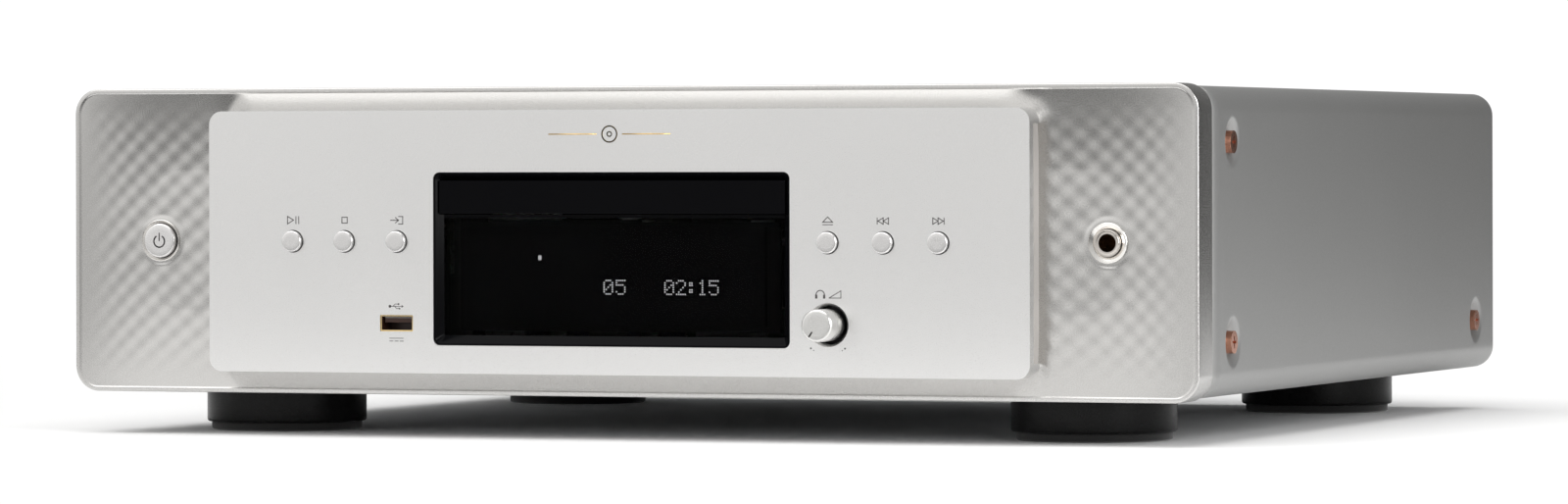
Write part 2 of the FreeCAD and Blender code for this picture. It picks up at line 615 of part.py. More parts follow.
def gear_points(teeth, backlash):
    """The outline of an involute spur gear about (0, 0), with a tooth centred on the +X axis."""
    pitch_r = MODULE * teeth / 2
    base_r = pitch_r * math.cos(math.radians(20))
    tip_r, root_r = pitch_r + 0.95 * MODULE, pitch_r - 1.2 * MODULE

    def involute(r):
        a = math.acos(min(1.0, base_r / r))
        return math.tan(a) - a

    half = math.pi / (2 * teeth) - backlash / pitch_r
    steps = 5
    flank = []
    for i in range(steps + 1):
        r = max(base_r, root_r) + (tip_r - max(base_r, root_r)) * i / steps
        flank.append((r, half + involute(pitch_r) - involute(r)))
    flank.insert(0, (root_r, flank[0][1]))
    points = []
    for k in range(teeth):
        mid = 2 * math.pi * k / teeth
        for r, a in flank:
            points.append((r * math.cos(mid - a), r * math.sin(mid - a)))
        for r, a in reversed(flank):
            points.append((r * math.cos(mid + a), r * math.sin(mid + a)))
    return points


def tray_gear():
    """Pinion that drives the tray's rack, moulded in one with its belt pulley."""
    outline = [(PINION_X + x, PINION_Y + y) for x, y in gear_points(PINION_TEETH, 0.12)]
    pinion = polygon_z(outline, 81.6, TRAY_FLOOR_Z0 - 0.5)
    pulley = cyl_z(PULLEY_R + 1.5, PINION_X, PINION_Y, PLATFORM_Z1 + 0.6, 81.6)
    groove = cut(
        cyl_z(PULLEY_R + 2, PINION_X, PINION_Y, BELT_Z - 1.0, BELT_Z + 1.0),
        cyl_z(PULLEY_R, PINION_X, PINION_Y, BELT_Z - 1.0, BELT_Z + 1.0),
    )
    bore = cyl_z(2.0 + PIN_CLEARANCE, PINION_X, PINION_Y, PLATFORM_Z1, TRAY_FLOOR_Z0)
    return cut(fuse(pinion, pulley), groove, bore)


def motor_pulley():
    z0, z1 = PLATFORM_Z1 + 0.6, 82.0
    body = cyl_z(MOTOR_PULLEY_R + 1.2, MOTOR_X, MOTOR_Y, z0, z1)
    groove = cut(
        cyl_z(MOTOR_PULLEY_R + 2, MOTOR_X, MOTOR_Y, BELT_Z - 1.0, BELT_Z + 1.0),
        cyl_z(MOTOR_PULLEY_R, MOTOR_X, MOTOR_Y, BELT_Z - 1.0, BELT_Z + 1.0),
    )
    shaft = cyl_z(1.0, MOTOR_X, MOTOR_Y, PLATFORM_Z0 - 6, z0)
    return fuse(cut(body, groove), shaft)


def stadium(grow, z0, z1):
    """The space inside a belt round both pulleys, grown outwards."""
    ra, rb = PULLEY_R + grow, MOTOR_PULLEY_R + grow
    ax, ay, bx, by = PINION_X, PINION_Y, MOTOR_X, MOTOR_Y
    gap = math.hypot(bx - ax, by - ay)
    heading = math.atan2(by - ay, bx - ax)
    lean = math.acos((ra - rb) / gap)
    corners = []
    for cx, cy, r, turn in ((ax, ay, ra, lean), (bx, by, rb, lean), (bx, by, rb, -lean), (ax, ay, ra, -lean)):
        corners.append((cx + r * math.cos(heading + turn), cy + r * math.sin(heading + turn)))
    return fuse(polygon_z(corners, z0, z1), cyl_z(ra, ax, ay, z0, z1), cyl_z(rb, bx, by, z0, z1))


def drive_belt():
    z0, z1 = BELT_Z - 0.6, BELT_Z + 0.6
    return cut(stadium(1.4, z0, z1), stadium(0.3, z0, z1))


def loading_motor():
    body = cyl_z(6.5, MOTOR_X, MOTOR_Y, PLATFORM_Z0 - 16, PLATFORM_Z0)
    return cut(body, cyl_z(1.0 + SHAFT_CLEARANCE, MOTOR_X, MOTOR_Y, PLATFORM_Z0 - 7, PLATFORM_Z0))


def loader_base():
    """Moulded loader frame: side rails, a deck with the traverse opening, hinge lugs and four legs."""
    y0, y1 = LOADER_Y0, LOADER_Y1
    rails = mirrored_boxes(RAIL_X, RAIL_X + RAIL_WALL, y0, y1, 56, 96.5)
    ears = mirrored_boxes(RAIL_X, RAIL_X + RAIL_WALL, ARM_HINGE_Y - 6, y1, 96.5, 104)
    deck = box(-RAIL_X, RAIL_X, y0, y1, PLATFORM_Z0, PLATFORM_Z1)
    opening = box(-OPENING_X, OPENING_X, DISC_Y - 26, y1 - 4, PLATFORM_Z0, PLATFORM_Z1)
    ledges = mirrored_boxes(TRAY_X - 2.5, RAIL_X, y0, y1, TRAY_Z0 - 1.8, TRAY_Z0 - 0.3)
    hooks = mirrored_boxes(TRAY_X - 2.0, RAIL_X, -150, -40, TRAY_Z1 + 0.3, 96.5)
    rear_wall = box(-RAIL_X, RAIL_X, y1 - 2.5, y1, 56, PLATFORM_Z0)
    lug_y0, lug_y1 = TRAVERSE_HINGE_Y - 5, TRAVERSE_HINGE_Y + 5
    lugs = mirrored_boxes(OPENING_X + 1, OPENING_X + 6, lug_y0, lug_y1, 66, PLATFORM_Z0)
    spindle = cyl_z(2.0, PINION_X, PINION_Y, PLATFORM_Z1, TRAY_FLOOR_Z0 - 0.4)
    legs = []
    for x in (-RAIL_X - 6, RAIL_X + 6):
        for y in (y0 + 16, y1 - 12):
            legs.append(box(x - 6, x + 6, y - 6, y + 6, DECK_Z, 60))
    hinge = cyl_x(PIN_R + PIN_CLEARANCE, TRAVERSE_HINGE_Y, HINGE_Z, -OPENING_X - 6, OPENING_X + 6)
    arm_hinge = cyl_x(PIN_R + PIN_CLEARANCE, ARM_HINGE_Y, ARM_HINGE_Z, -RAIL_X - 3, RAIL_X + 3)
    shaft_hole = cyl_z(1.6, MOTOR_X, MOTOR_Y, PLATFORM_Z0, PLATFORM_Z1)
    body = fuse(cut(deck, opening), *rails, *ears, *ledges, *hooks, rear_wall, *lugs, *legs, spindle)
    return cut(body, hinge, arm_hinge, shaft_hole)


def traverse_plate():
    """Steel plate that carries the turntable motor and pickup, on hinge pins at its rear."""
    plate = box(-36, 36, DISC_Y - 22, TRAVERSE_HINGE_Y + 3, TRAVERSE_Z0, TRAVERSE_Z1)
    light_slot = box(-16, 16, DISC_Y + 16, DISC_Y + 76, TRAVERSE_Z0, TRAVERSE_Z1)
    bore = cyl_z(1.4, 0, DISC_Y, TRAVERSE_Z0, TRAVERSE_Z1)
    pins = [cyl_x(PIN_R, TRAVERSE_HINGE_Y, HINGE_Z, a, b) for a, b in ((-42, -34), (34, 42))]
    posts = []
    for x in (-ROD_X, ROD_X):
        for y in (DISC_Y + 12, DISC_Y + 82):
            posts.append(box(x - 4, x + 4, y, y + 4, TRAVERSE_Z1, ROD_Z + 3))
    post = box(SCREW_X - 2.8, SCREW_X + 2.8, DISC_Y + 12, DISC_Y + 16, TRAVERSE_Z1, ROD_Z + 3)
    holes = [cyl_y(PIN_R, x, ROD_Z, DISC_Y + 12, DISC_Y + 86) for x in (-ROD_X, ROD_X)]
    holes.append(cyl_y(LEAD_SCREW_R + PIN_CLEARANCE, SCREW_X, ROD_Z, DISC_Y + 12, DISC_Y + 16))
    return cut(fuse(cut(plate, light_slot, bore), *pins, *posts, post), *holes)


def guide_rods():
    return Part.makeCompound([cyl_y(PIN_R, x, ROD_Z, DISC_Y + 12, DISC_Y + 86) for x in (-ROD_X, ROD_X)])


def spindle_motor():
    body = cyl_z(13.0, 0, DISC_Y, TRAVERSE_Z0 - 10, TRAVERSE_Z0)
    return cut(body, cyl_z(1.1 + SHAFT_CLEARANCE, 0, DISC_Y, TRAVERSE_Z0 - 5, TRAVERSE_Z0))


def turntable():
    """Disc support with a centring cone, on the motor's shaft."""
    platter = cyl_z(15.0, 0, DISC_Y, SUPPORT_Z - 3, SUPPORT_Z)
    cone = Part.makeCone(7.4, 5.5, 2.0, Vec(0, DISC_Y, SUPPORT_Z), Vec(0, 0, 1))
    hub = cyl_z(4.0, 0, DISC_Y, TRAVERSE_Z1 + 2, SUPPORT_Z - 3)
    shaft = cyl_z(1.1, 0, DISC_Y, TRAVERSE_Z0 - 4.5, TRAVERSE_Z1 + 2)
    return fuse(platter, cone, hub, shaft)


def pickup_sled():
    """Laser carriage on the two guide rods, at its innermost track."""
    y0 = DISC_Y + 17.0
    base = box(-31, 31, y0, y0 + 24, 73.5, 79.5)
    turret = box(-11, 11, y0 + 2, y0 + 22, 79.5, 87.0)
    holes = [cyl_y(PIN_R + PIN_CLEARANCE, x, ROD_Z, y0, y0 + 24) for x in (-ROD_X, ROD_X)]
    nut = cyl_y(LEAD_SCREW_R + 0.35, SCREW_X, ROD_Z, y0, y0 + 24)
    seat = cyl_z(4.0, 0, y0 + 12, 86.0, 87.0)
    return cut(fuse(base, turret), *holes, nut, seat)


def pickup_lens():
    y = DISC_Y + 29.0
    ring = cyl_z(4.0, 0, y, 86.0, 87.6)
    dome = Part.makeSphere(4.0, Vec(0, y, 85.0)).common(cyl_z(3.0, 0, y, 87.6, 89.5))
    return fuse(ring, dome)


def lead_screw():
    """Screw that moves the sled; the groove of its thread is left out."""
    return cyl_y(LEAD_SCREW_R, SCREW_X, ROD_Z, DISC_Y + 12, DISC_Y + 88)


def sled_motor():
    y0 = DISC_Y + 86.5
    body = cyl_y(6.0, SCREW_X, ROD_Z + 1.2, y0, y0 + 12)
    bracket = box(SCREW_X - 6, SCREW_X + 6, y0, y0 + 12, TRAVERSE_Z1, ROD_Z - 2)
    return cut(fuse(body, bracket), cyl_y(LEAD_SCREW_R + PIN_CLEARANCE, SCREW_X, ROD_Z, y0, y0 + 3))


def clamp_arm():
    """Arm over the tray that carries the clamp puck, hinged at the rear of the loader."""
    reach = box(-14, 14, DISC_Y - 16, ARM_HINGE_Y + 4, ARM_Z0, ARM_Z1)
    yoke = box(-RAIL_X + 0.5, RAIL_X - 0.5, ARM_HINGE_Y - 12, ARM_HINGE_Y + 4, ARM_Z0, ARM_Z1)
    pins = [
        cyl_x(PIN_R, ARM_HINGE_Y, ARM_HINGE_Z, a, b)
        for a, b in ((-RAIL_X - 2.5, -RAIL_X + 2), (RAIL_X - 2, RAIL_X + 2.5))
    ]
    return cut(fuse(reach, yoke, *pins), cyl_z(6.0, 0, DISC_Y, ARM_Z0, ARM_Z1))


def clamp_puck():
    """Magnetic puck that presses the disc onto the turntable and turns with it."""
    low = SUPPORT_Z + 1.4
    disc = cyl_z(13.0, 0, DISC_Y, low, ARM_Z0 - 0.3)
    neck = cyl_z(5.0, 0, DISC_Y, ARM_Z0 - 0.3, ARM_Z1 + 0.3)
    flange = cyl_z(8.0, 0, DISC_Y, ARM_Z1 + 0.3, ARM_Z1 + 1.6)
    return cut(fuse(disc, neck, flange), cyl_z(8.4, 0, DISC_Y, low, low + 1.6))


# ---- electronics --------------------------------------------------------------------------------------
BOARD_Z = DECK_Z + 8.0
BOARD_THICK = 1.6


def standoff_spots(x0, x1, y0, y1, margin=6.0):
    return [(x, y) for x in (x0 + margin, x1 - margin) for y in (y0 + margin, y1 - margin)]


def circuit_board(x0, x1, y0, y1):
    """A board on four standoffs from the chassis floor."""
    board = box(x0, x1, y0, y1, BOARD_Z, BOARD_Z + BOARD_THICK)
    posts = [cyl_z(3.0, x, y, DECK_Z, BOARD_Z) for x, y in standoff_spots(x0, x1, y0, y1)]
    return fuse(board, *posts)


def transformer():
    """Screened toroidal mains transformer under a round can, on its own base plate."""
    x, y = -142.0, -71.0
    base = box(x - 52, x + 52, y - 52, y + 52, DECK_Z, DECK_Z + 3)
    can = cyl_z(47.0, x, y, DECK_Z + 3, DECK_Z + 58)
    hollow = cyl_z(8.0, x, y, DECK_Z + 40, DECK_Z + 58)
    bolt = cyl_z(5.0, x, y, DECK_Z + 40, DECK_Z + 50)
    return fuse(cut(fuse(base, can), hollow), bolt)


POWER_BOARD = (30.0, 205.0, 95.0, 195.0)
AUDIO_BOARD = (-205.0, 18.0, 30.0, 195.0)
CAP_SPOTS = ((60, 120, 11, 40), (86, 120, 11, 40), (112, 120, 9, 30), (60, 150, 7, 26), (80, 150, 7, 26))


def power_board():
    board = circuit_board(*POWER_BOARD)
    sink = box(120, 190, 104, 108, BOARD_Z + BOARD_THICK, BOARD_Z + 46)
    fins = [box(121 + 8 * i, 123 + 8 * i, 108, 118, BOARD_Z + BOARD_THICK, BOARD_Z + 46) for i in range(9)]
    return fuse(board, sink, *fins)


def audio_board():
    """Converter and output board, with its screened blocks and film capacitors."""
    top = BOARD_Z + BOARD_THICK
    blocks = [
        box(x, x + 22, y, y + 16, top, top + 12) for x in (-180, -140, -100, -60) for y in (110, 140)
    ]
    chips = [box(x, x + 14, 70, 84, top, top + 1.6) for x in (-170, -120, -70, -20)]
    return fuse(circuit_board(*AUDIO_BOARD), *blocks, *chips)


def capacitors():
    top = BOARD_Z + BOARD_THICK
    cans = [cyl_z(r, x, y, top, top + h) for x, y, r, h in CAP_SPOTS]
    cans += [cyl_z(6.0, x, 55, top, top + 20) for x in (-180, -160, -140, -120, -100, -80)]
    return Part.makeCompound(cans)


def ribbon_cables():
    """Flat cables from the front board and the loader to the main boards, lying on the chassis floor."""
    top = BOARD_Z + BOARD_THICK
    run = fuse(
        box(96, 120, -186.9, -186.3, 34, 100),
        box(96, 120, -186.3, -168, 34, 34.6),
        box(96, 120, -168.6, -168, DECK_Z, 34),
        box(96, 120, -168, 88, DECK_Z, DECK_Z + 0.6),
        box(96, 120, 88, 88.6, DECK_Z, top + 5),
        box(96, 120, 88.6, 100, top + 4.4, top + 5),
        box(96, 120, 99.4, 100, top, top + 4.4),
    )
    short = fuse(
        box(-52, -34, 10, 10.6, DECK_Z, top + 5),
        box(-52, -34, -15, 10, DECK_Z, DECK_Z + 0.6),
        box(-52, -34, 10.6, 40, top + 4.4, top + 5),
        box(-52, -34, 39.4, 40, top, top + 4.4),
    )
    return Part.makeCompound([run, short])


# ---- rear sockets -------------------------------------------------------------------------------------
def phono_sockets():
    """Left, right and coaxial digital outputs: a flanged metal collar and barrel in each."""
    sockets = []
    for x, z in PHONO_SPOTS:
        collar = cyl_y(6.6, x, z, PANEL_Y1, PANEL_Y1 + 1.6)
        neck = cyl_y(5.2, x, z, PANEL_Y0 - 3, PANEL_Y1)
        barrel = cyl_y(PHONO_R, x, z, PANEL_Y1 + 1.6, TIP_Y)
        block = box(x - 7, x + 7, PANEL_Y0 - 15, PANEL_Y0 - 3, z - 8, z + 8)
        bore = cyl_y(PHONO_BORE_R, x, z, PANEL_Y0 - 8, TIP_Y)
        sockets.append(cut(fuse(collar, neck, barrel, block), bore))
    return Part.makeCompound(sockets)


def minijacks():
    """Two remote-control sockets and one control input, 3.5 mm."""
    sockets = []
    for x, z in MINIJACK_SPOTS:
        body = box(x - 5, x + 5, PANEL_Y0 - 14, PANEL_Y0, z - 5, z + 5)
        nose = cyl_y(3.0, x, z, PANEL_Y0, PANEL_Y1 + 0.4)
        sockets.append(cut(fuse(body, nose), cyl_y(MINIJACK_R, x, z, PANEL_Y0 - 13, PANEL_Y1 + 0.4)))
    return Part.makeCompound(sockets)


def optical_socket():
    z = REAR_CONTROL_Z
    x = OPTICAL_X
    body = box(x - 5, x + 5, PANEL_Y0 - 13, PANEL_Y1 + 1.0, z - 5, z + 5)
    mouth = box(x - 3.9, x + 3.9, PANEL_Y0 - 9, PANEL_Y1 + 1.0, z - 3.9, z + 3.9)
    hinge = cyl_x(0.72, FLAP_Y, FLAP_Z, x - 4.7, x + 4.7)
    return cut(body, mouth, hinge)


FLAP_Y = PANEL_Y1 - 0.2
FLAP_Z = REAR_CONTROL_Z + 3.0


def optical_flap():
    """Sprung shutter that swings into the optical socket on a pin across its top."""
    x = OPTICAL_X
    leaf = box(x - 3.6, x + 3.6, FLAP_Y - 0.5, FLAP_Y + 0.5, REAR_CONTROL_Z - 3.6, FLAP_Z)
    return fuse(leaf, cyl_x(0.65, FLAP_Y, FLAP_Z, x - 4.4, x + 4.4))


def remote_switch():
    """Lever of the internal/external slide switch, in its slot in the panel."""
    z = REAR_CONTROL_Z
    return fuse(
        box(SWITCH_X - 1.5, SWITCH_X + 1.5, PANEL_Y0 - 1, PANEL_Y1 + 2.0, z - 1.6, z + 1.6),
        box(SWITCH_X - 2.5, SWITCH_X + 2.5, PANEL_Y0 - 2.5, PANEL_Y0 - 1, z - 2.4, z + 2.4),
    )


def switch_housing():
    """Body of the slide switch, behind the panel."""
    z = REAR_CONTROL_Z
    x0, x1 = SWITCH_X - 5.0, SWITCH_X + 5.0 + SWITCH_TRAVEL
    y0 = PANEL_Y0 - 9.0
    body = box(x0, x1, y0, PANEL_Y0, z - 4.0, z + 4.0)
    return cut(body, box(x0 + 2.0, x1 - 2.0, PANEL_Y0 - 3.0, PANEL_Y0, z - 2.8, z + 2.8))


def mains_inlet():
    """Two-pole mains inlet: a flanged shroud with two blades."""

    def centred(half_sizes, y0, y1, x=INLET_X):
        w, h = half_sizes
        return box(x - w, x + w, y0, y1, INLET_Z - h, INLET_Z + h)

    back = PANEL_Y0 - INLET_DEPTH
    flange = centred(INLET_FLANGE, PANEL_Y1, PANEL_Y1 + 2.0)
    shroud = centred(INLET_SHROUD, back, PANEL_Y1)
    well = centred(INLET_WELL, back + 3.0, PANEL_Y1 + 2.0)
    blades = [centred((1.0, 2.0), back + 2.0, PANEL_Y1 - 1.0, INLET_X + s * BLADE_X) for s in (-1, 1)]
    return fuse(cut(fuse(flange, shroud), well), *blades)


BUTTON_NODES = {
    "play_button": -BUTTON_X[2], "stop_button": -BUTTON_X[1], "input_button": -BUTTON_X[0],
    "eject_button": BUTTON_X[0], "previous_button": BUTTON_X[1], "next_button": BUTTON_X[2],
}


def tray_door():
    """Fascia on the front of the tray, filling the slot in the bezel."""
    g = DOOR_GAP
    y0 = PLATE_Y + DOOR_RECESS
    return box(-TRAY_SLOT_X + g, TRAY_SLOT_X - g, y0, TRAY_FRONT_Y, TRAY_SLOT_Z0 + g, TRAY_SLOT_Z1 - g)


NODES = {
    "front_frame": front_frame, "front_plate": front_plate, "light_guides": light_guides,
    "window_bezel": window_bezel, "display_lens": display_lens, "display_module": display_module,
    "power_button": power_button, "power_ring": power_ring, "phones_ring": phones_ring,
    "phones_socket": phones_socket, "level_knob": level_knob, "pot_shaft": pot_shaft,
    "level_pot": level_pot, "usb_port": usb_port, "front_board": front_board,
    "cover": cover, "bottom_chassis": bottom_chassis, "rear_panel": rear_panel,
    "power_switch": power_switch, "phones_board": phones_board,
    "feet": feet, "foot_pads": foot_pads, "foot_screws": foot_screws, "side_screws": side_screws,
    "rear_screws": rear_screws, "tray": tray, "tray_door": tray_door, "tray_gear": tray_gear,
    "motor_pulley": motor_pulley, "drive_belt": drive_belt, "loading_motor": loading_motor,
    "loader_base": loader_base, "traverse_plate": traverse_plate, "guide_rods": guide_rods,
    "spindle_motor": spindle_motor, "turntable": turntable, "pickup_sled": pickup_sled,
    "pickup_lens": pickup_lens, "lead_screw": lead_screw, "sled_motor": sled_motor,
    "clamp_arm": clamp_arm, "clamp_puck": clamp_puck, "transformer": transformer,
    "power_board": power_board, "audio_board": audio_board, "capacitors": capacitors,
    "ribbon_cables": ribbon_cables, "phono_sockets": phono_sockets, "minijacks": minijacks,
    "optical_socket": optical_socket, "optical_flap": optical_flap, "remote_switch": remote_switch,
    "switch_housing": switch_housing,
    "mains_inlet": mains_inlet,
}


def main():
    os.makedirs("parts", exist_ok=True)
    shapes = {name: make() for name, make in NODES.items()}
    for name, x in BUTTON_NODES.items():
        shapes[name] = button(x)
    for name, shape in shapes.items():
        shape.exportStep(os.path.join("parts", name + ".step"))
    print(len(shapes), "nodes")


main()
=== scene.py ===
"""Looks for the compact disc player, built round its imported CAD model.

Metres, in the row frame: +X right, -Y front, +Z up. Sizes inside the builders are in millimetres and are
scaled when each mesh is made.
"""

import json
import math

import bpy
import numpy as np
from mathutils import Matrix, Vector


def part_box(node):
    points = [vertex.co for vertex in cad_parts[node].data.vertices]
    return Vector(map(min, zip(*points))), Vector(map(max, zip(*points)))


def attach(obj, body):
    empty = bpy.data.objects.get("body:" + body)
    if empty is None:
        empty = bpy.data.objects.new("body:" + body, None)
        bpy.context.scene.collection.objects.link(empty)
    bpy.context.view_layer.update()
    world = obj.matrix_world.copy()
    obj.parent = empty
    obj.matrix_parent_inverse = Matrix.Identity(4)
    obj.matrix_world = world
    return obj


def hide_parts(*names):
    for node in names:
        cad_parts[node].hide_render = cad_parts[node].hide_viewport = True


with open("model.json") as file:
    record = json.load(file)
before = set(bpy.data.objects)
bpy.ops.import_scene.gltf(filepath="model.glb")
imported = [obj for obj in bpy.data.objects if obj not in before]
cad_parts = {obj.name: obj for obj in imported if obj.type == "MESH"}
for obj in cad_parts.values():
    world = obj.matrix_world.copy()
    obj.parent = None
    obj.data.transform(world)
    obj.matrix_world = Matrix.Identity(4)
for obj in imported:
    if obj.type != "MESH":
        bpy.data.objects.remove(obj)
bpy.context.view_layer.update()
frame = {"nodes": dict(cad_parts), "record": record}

MM = 0.001


def node_box(node):
    """A CAD node's lowest and highest corners, in millimetres."""
    low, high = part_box(node)
    return low * 1000, high * 1000


def node_middle(node):
    low, high = node_box(node)
    return (low + high) / 2


# ---- places taken from the CAD model --------------------------------------------------------------------
FRAME_LOW, FRAME_HIGH = node_box("front_frame")
PLATE_LOW, PLATE_HIGH = node_box("front_plate")
COVER_LOW, COVER_HIGH = node_box("cover")
PLATE_Y = PLATE_LOW.y
RIM_Y = FRAME_LOW.y
FLOOR_Y = PLATE_HIGH.y  # floor of the dished front, where the plate sits
MID_Z = (FRAME_LOW.z + FRAME_HIGH.z) / 2
HALF_X = FRAME_HIGH.x
HALF_Z = (FRAME_HIGH.z - FRAME_LOW.z) / 2
FRAME_RADIUS = 9.5
DISH_DEPTH = FLOOR_Y - RIM_Y


# ---- materials ------------------------------------------------------------------------------------------
class Nodes:
    """A short way to build one material's node tree."""

    def __init__(self, name):
        self.material = bpy.data.materials.new(name)
        self.material.use_nodes = True
        self.tree = self.material.node_tree
        self.shader = self.tree.nodes["Principled BSDF"]
        self.place = None

    def add(self, kind, **settings):
        made = self.tree.nodes.new(kind)
        for key, value in settings.items():
            setattr(made, key, value)
        return made

    def link(self, a, b):
        self.tree.links.new(a, b)

    def coords(self):
        if self.place is None:
            self.place = self.add("ShaderNodeTexCoord").outputs["Object"]
        return self.place

    def stretched(self, scale):
        mapping = self.add("ShaderNodeMapping")
        mapping.inputs["Scale"].default_value = scale
        self.link(self.coords(), mapping.inputs["Vector"])
        return mapping.outputs["Vector"]

    def noise(self, scale, detail=3.0, rough=0.55, where=None):
        made = self.add("ShaderNodeTexNoise")
        made.inputs["Scale"].default_value = scale
        made.inputs["Detail"].default_value = detail
        made.inputs["Roughness"].default_value = rough
        self.link(where or self.coords(), made.inputs["Vector"])
        return made.outputs["Fac"]

    def spread(self, value, low, high, from_low=0.3, from_high=0.7):
        made = self.add("ShaderNodeMapRange")
        made.inputs["From Min"].default_value = from_low
        made.inputs["From Max"].default_value = from_high
        made.inputs["To Min"].default_value = low
        made.inputs["To Max"].default_value = high
        self.link(value, made.inputs["Value"])
        return made.outputs["Result"]

    def tint(self, value, dark, light):
        made = self.add("ShaderNodeMix", data_type="RGBA")
        made.inputs["A"].default_value = (*dark, 1)
        made.inputs["B"].default_value = (*light, 1)
        self.link(value, made.inputs["Factor"])
        return made.outputs["Result"]

    def bump(self, value, height_mm):
        made = self.add("ShaderNodeBump")
        made.inputs["Distance"].default_value = height_mm * MM
        made.inputs["Strength"].default_value = 1.0
        self.link(value, made.inputs["Height"])
        self.link(made.outputs["Normal"], self.shader.inputs["Normal"])

    def set(self, **values):
        for key, value in values.items():
            self.shader.inputs[key.replace("_", " ")].default_value = value


def shade(colour, factor):
    return tuple(c * factor for c in colour)


def surface(name, colour, metallic, roughness, grain=2500.0, vary=0.06, rough_vary=0.05, bump_mm=0.004,
            cloud=18.0, extra=None):
    """Colour with faint clouding, fine grain in the gloss, and a grain bump."""
    n = Nodes(name)
    n.set(Metallic=metallic)
    clouds = n.spread(n.noise(cloud), 0, 1)
    n.link(n.tint(clouds, shade(colour, 1 - vary), shade(colour, 1 + vary)), n.shader.inputs["Base Color"])
    fine = n.noise(grain, 2.0)
    n.link(n.spread(fine, roughness - rough_vary, roughness + rough_vary), n.shader.inputs["Roughness"])
    n.bump(fine, bump_mm)
    for key, value in (extra or {}).items():
        n.shader.inputs[key].default_value = value
    return n.material


def turned(name, colour, roughness, rings=9000.0):
    """Turned metal: a noise that varies mostly along Y gives fine rings round that axis."""
    n = Nodes(name)
    n.set(Metallic=1.0)
    clouds = n.spread(n.noise(60.0), 0, 1)
    n.link(n.tint(clouds, shade(colour, 0.95), shade(colour, 1.05)), n.shader.inputs["Base Color"])
    lines = n.noise(rings, 1.0, where=n.stretched((0.06, 1.0, 0.06)))
    n.link(n.spread(lines, roughness - 0.05, roughness + 0.08), n.shader.inputs["Roughness"])
    n.bump(lines, 0.003)
    return n.material


def glassy(name, colour, roughness, transmission, ior=1.45, rough_vary=0.03):
    """Clear plastic or glass with faint smears."""
    n = Nodes(name)
    n.set(Metallic=0.0, IOR=ior)
    n.shader.inputs["Transmission Weight"].default_value = transmission
    smears = n.spread(n.noise(35.0), 0, 1)
    n.link(n.tint(smears, shade(colour, 0.9), shade(colour, 1.1)), n.shader.inputs["Base Color"])
    if rough_vary:
        n.link(n.spread(smears, roughness, roughness + rough_vary), n.shader.inputs["Roughness"])
    else:
        n.set(Roughness=roughness)
    return n.material


def glow(name, colour, strength):
    """A lit surface that wavers slightly from dot to dot."""
    n = Nodes(name)
    n.set(Roughness=0.4)
    n.shader.inputs["Emission Strength"].default_value = strength
    flicker = n.spread(n.noise(400.0), 0, 1)
    n.link(n.tint(flicker, shade(colour, 0.9), shade(colour, 1.05)), n.shader.inputs["Emission Color"])
    n.link(n.tint(flicker, shade(colour, 0.1), shade(colour, 0.12)), n.shader.inputs["Base Color"])
    return n.material


def circuit(name):
    """Solder mask with tracks, from two crossed bands of noise."""
    n = Nodes(name)
    n.set(Metallic=0.0)
    along = n.noise(90.0, 0.0, where=n.stretched((1.0, 14.0, 14.0)))
    across = n.noise(90.0, 0.0, where=n.stretched((14.0, 1.0, 1.0)))
    both = n.add("ShaderNodeMath", operation="MAXIMUM")
    n.link(along, both.inputs[0])
    n.link(across, both.inputs[1])
    track = n.spread(both.outputs[0], 0, 1, 0.60, 0.63)
    n.link(n.tint(track, (0.008, 0.05, 0.022), (0.02, 0.11, 0.05)), n.shader.inputs["Base Color"])
    n.link(n.spread(track, 0.35, 0.5, 0, 1), n.shader.inputs["Roughness"])
    n.bump(track, 0.03)
    return n.material


SILVER = (0.83, 0.826, 0.82)
FRAME_GREY = (0.58, 0.572, 0.56)

plate_finish = surface("plate_finish", SILVER, 1.0, 0.31, grain=4200.0, vary=0.02, rough_vary=0.05,
                       bump_mm=0.003, cloud=6.0)
frame_finish = surface("front_frame_finish", FRAME_GREY, 1.0, 0.27, grain=5200.0, vary=0.02,
                       rough_vary=0.03, bump_mm=0.0008, cloud=8.0)
cover_finish = surface("cover_paint", (0.33, 0.33, 0.326), 0.62, 0.40, grain=2200.0, vary=0.03,
                       rough_vary=0.06, bump_mm=0.010, cloud=7.0)
button_finish = surface("button_metal", (0.78, 0.77, 0.765), 1.0, 0.26, grain=4500.0, vary=0.02,
                        rough_vary=0.04, bump_mm=0.001)
ring_finish = surface("trim_ring_metal", (0.76, 0.745, 0.72), 1.0, 0.20, grain=4500.0, vary=0.02,
                      rough_vary=0.03, bump_mm=0.001)
socket_finish = surface("socket_metal", (0.66, 0.62, 0.58), 1.0, 0.14, grain=4500.0, vary=0.03,
                        rough_vary=0.03, bump_mm=0.001)
knob_finish = surface("knob_metal", (0.74, 0.735, 0.72), 1.0, 0.26, grain=4500.0, vary=0.02,
                      rough_vary=0.05, bump_mm=0.001)
shaft_finish = turned("steel_shaft", (0.55, 0.55, 0.55), 0.22)
gloss_black = surface("window_black", (0.0022, 0.0022, 0.0028), 0.0, 0.12, grain=1500.0, rough_vary=0.02,
                      bump_mm=0.0005, extra={"Specular IOR Level": 0.04})
moulded_black = surface("black_plastic", (0.018, 0.018, 0.019), 0.0, 0.48, grain=1800.0, bump_mm=0.012)
tray_plastic = surface("tray_plastic", (0.022, 0.022, 0.024), 0.0, 0.40, grain=1500.0, bump_mm=0.01)
acetal = surface("gear_plastic", (0.75, 0.75, 0.70), 0.0, 0.45, grain=900.0, bump_mm=0.006,
                 extra={"Subsurface Weight": 0.15, "Subsurface Scale": 0.002})
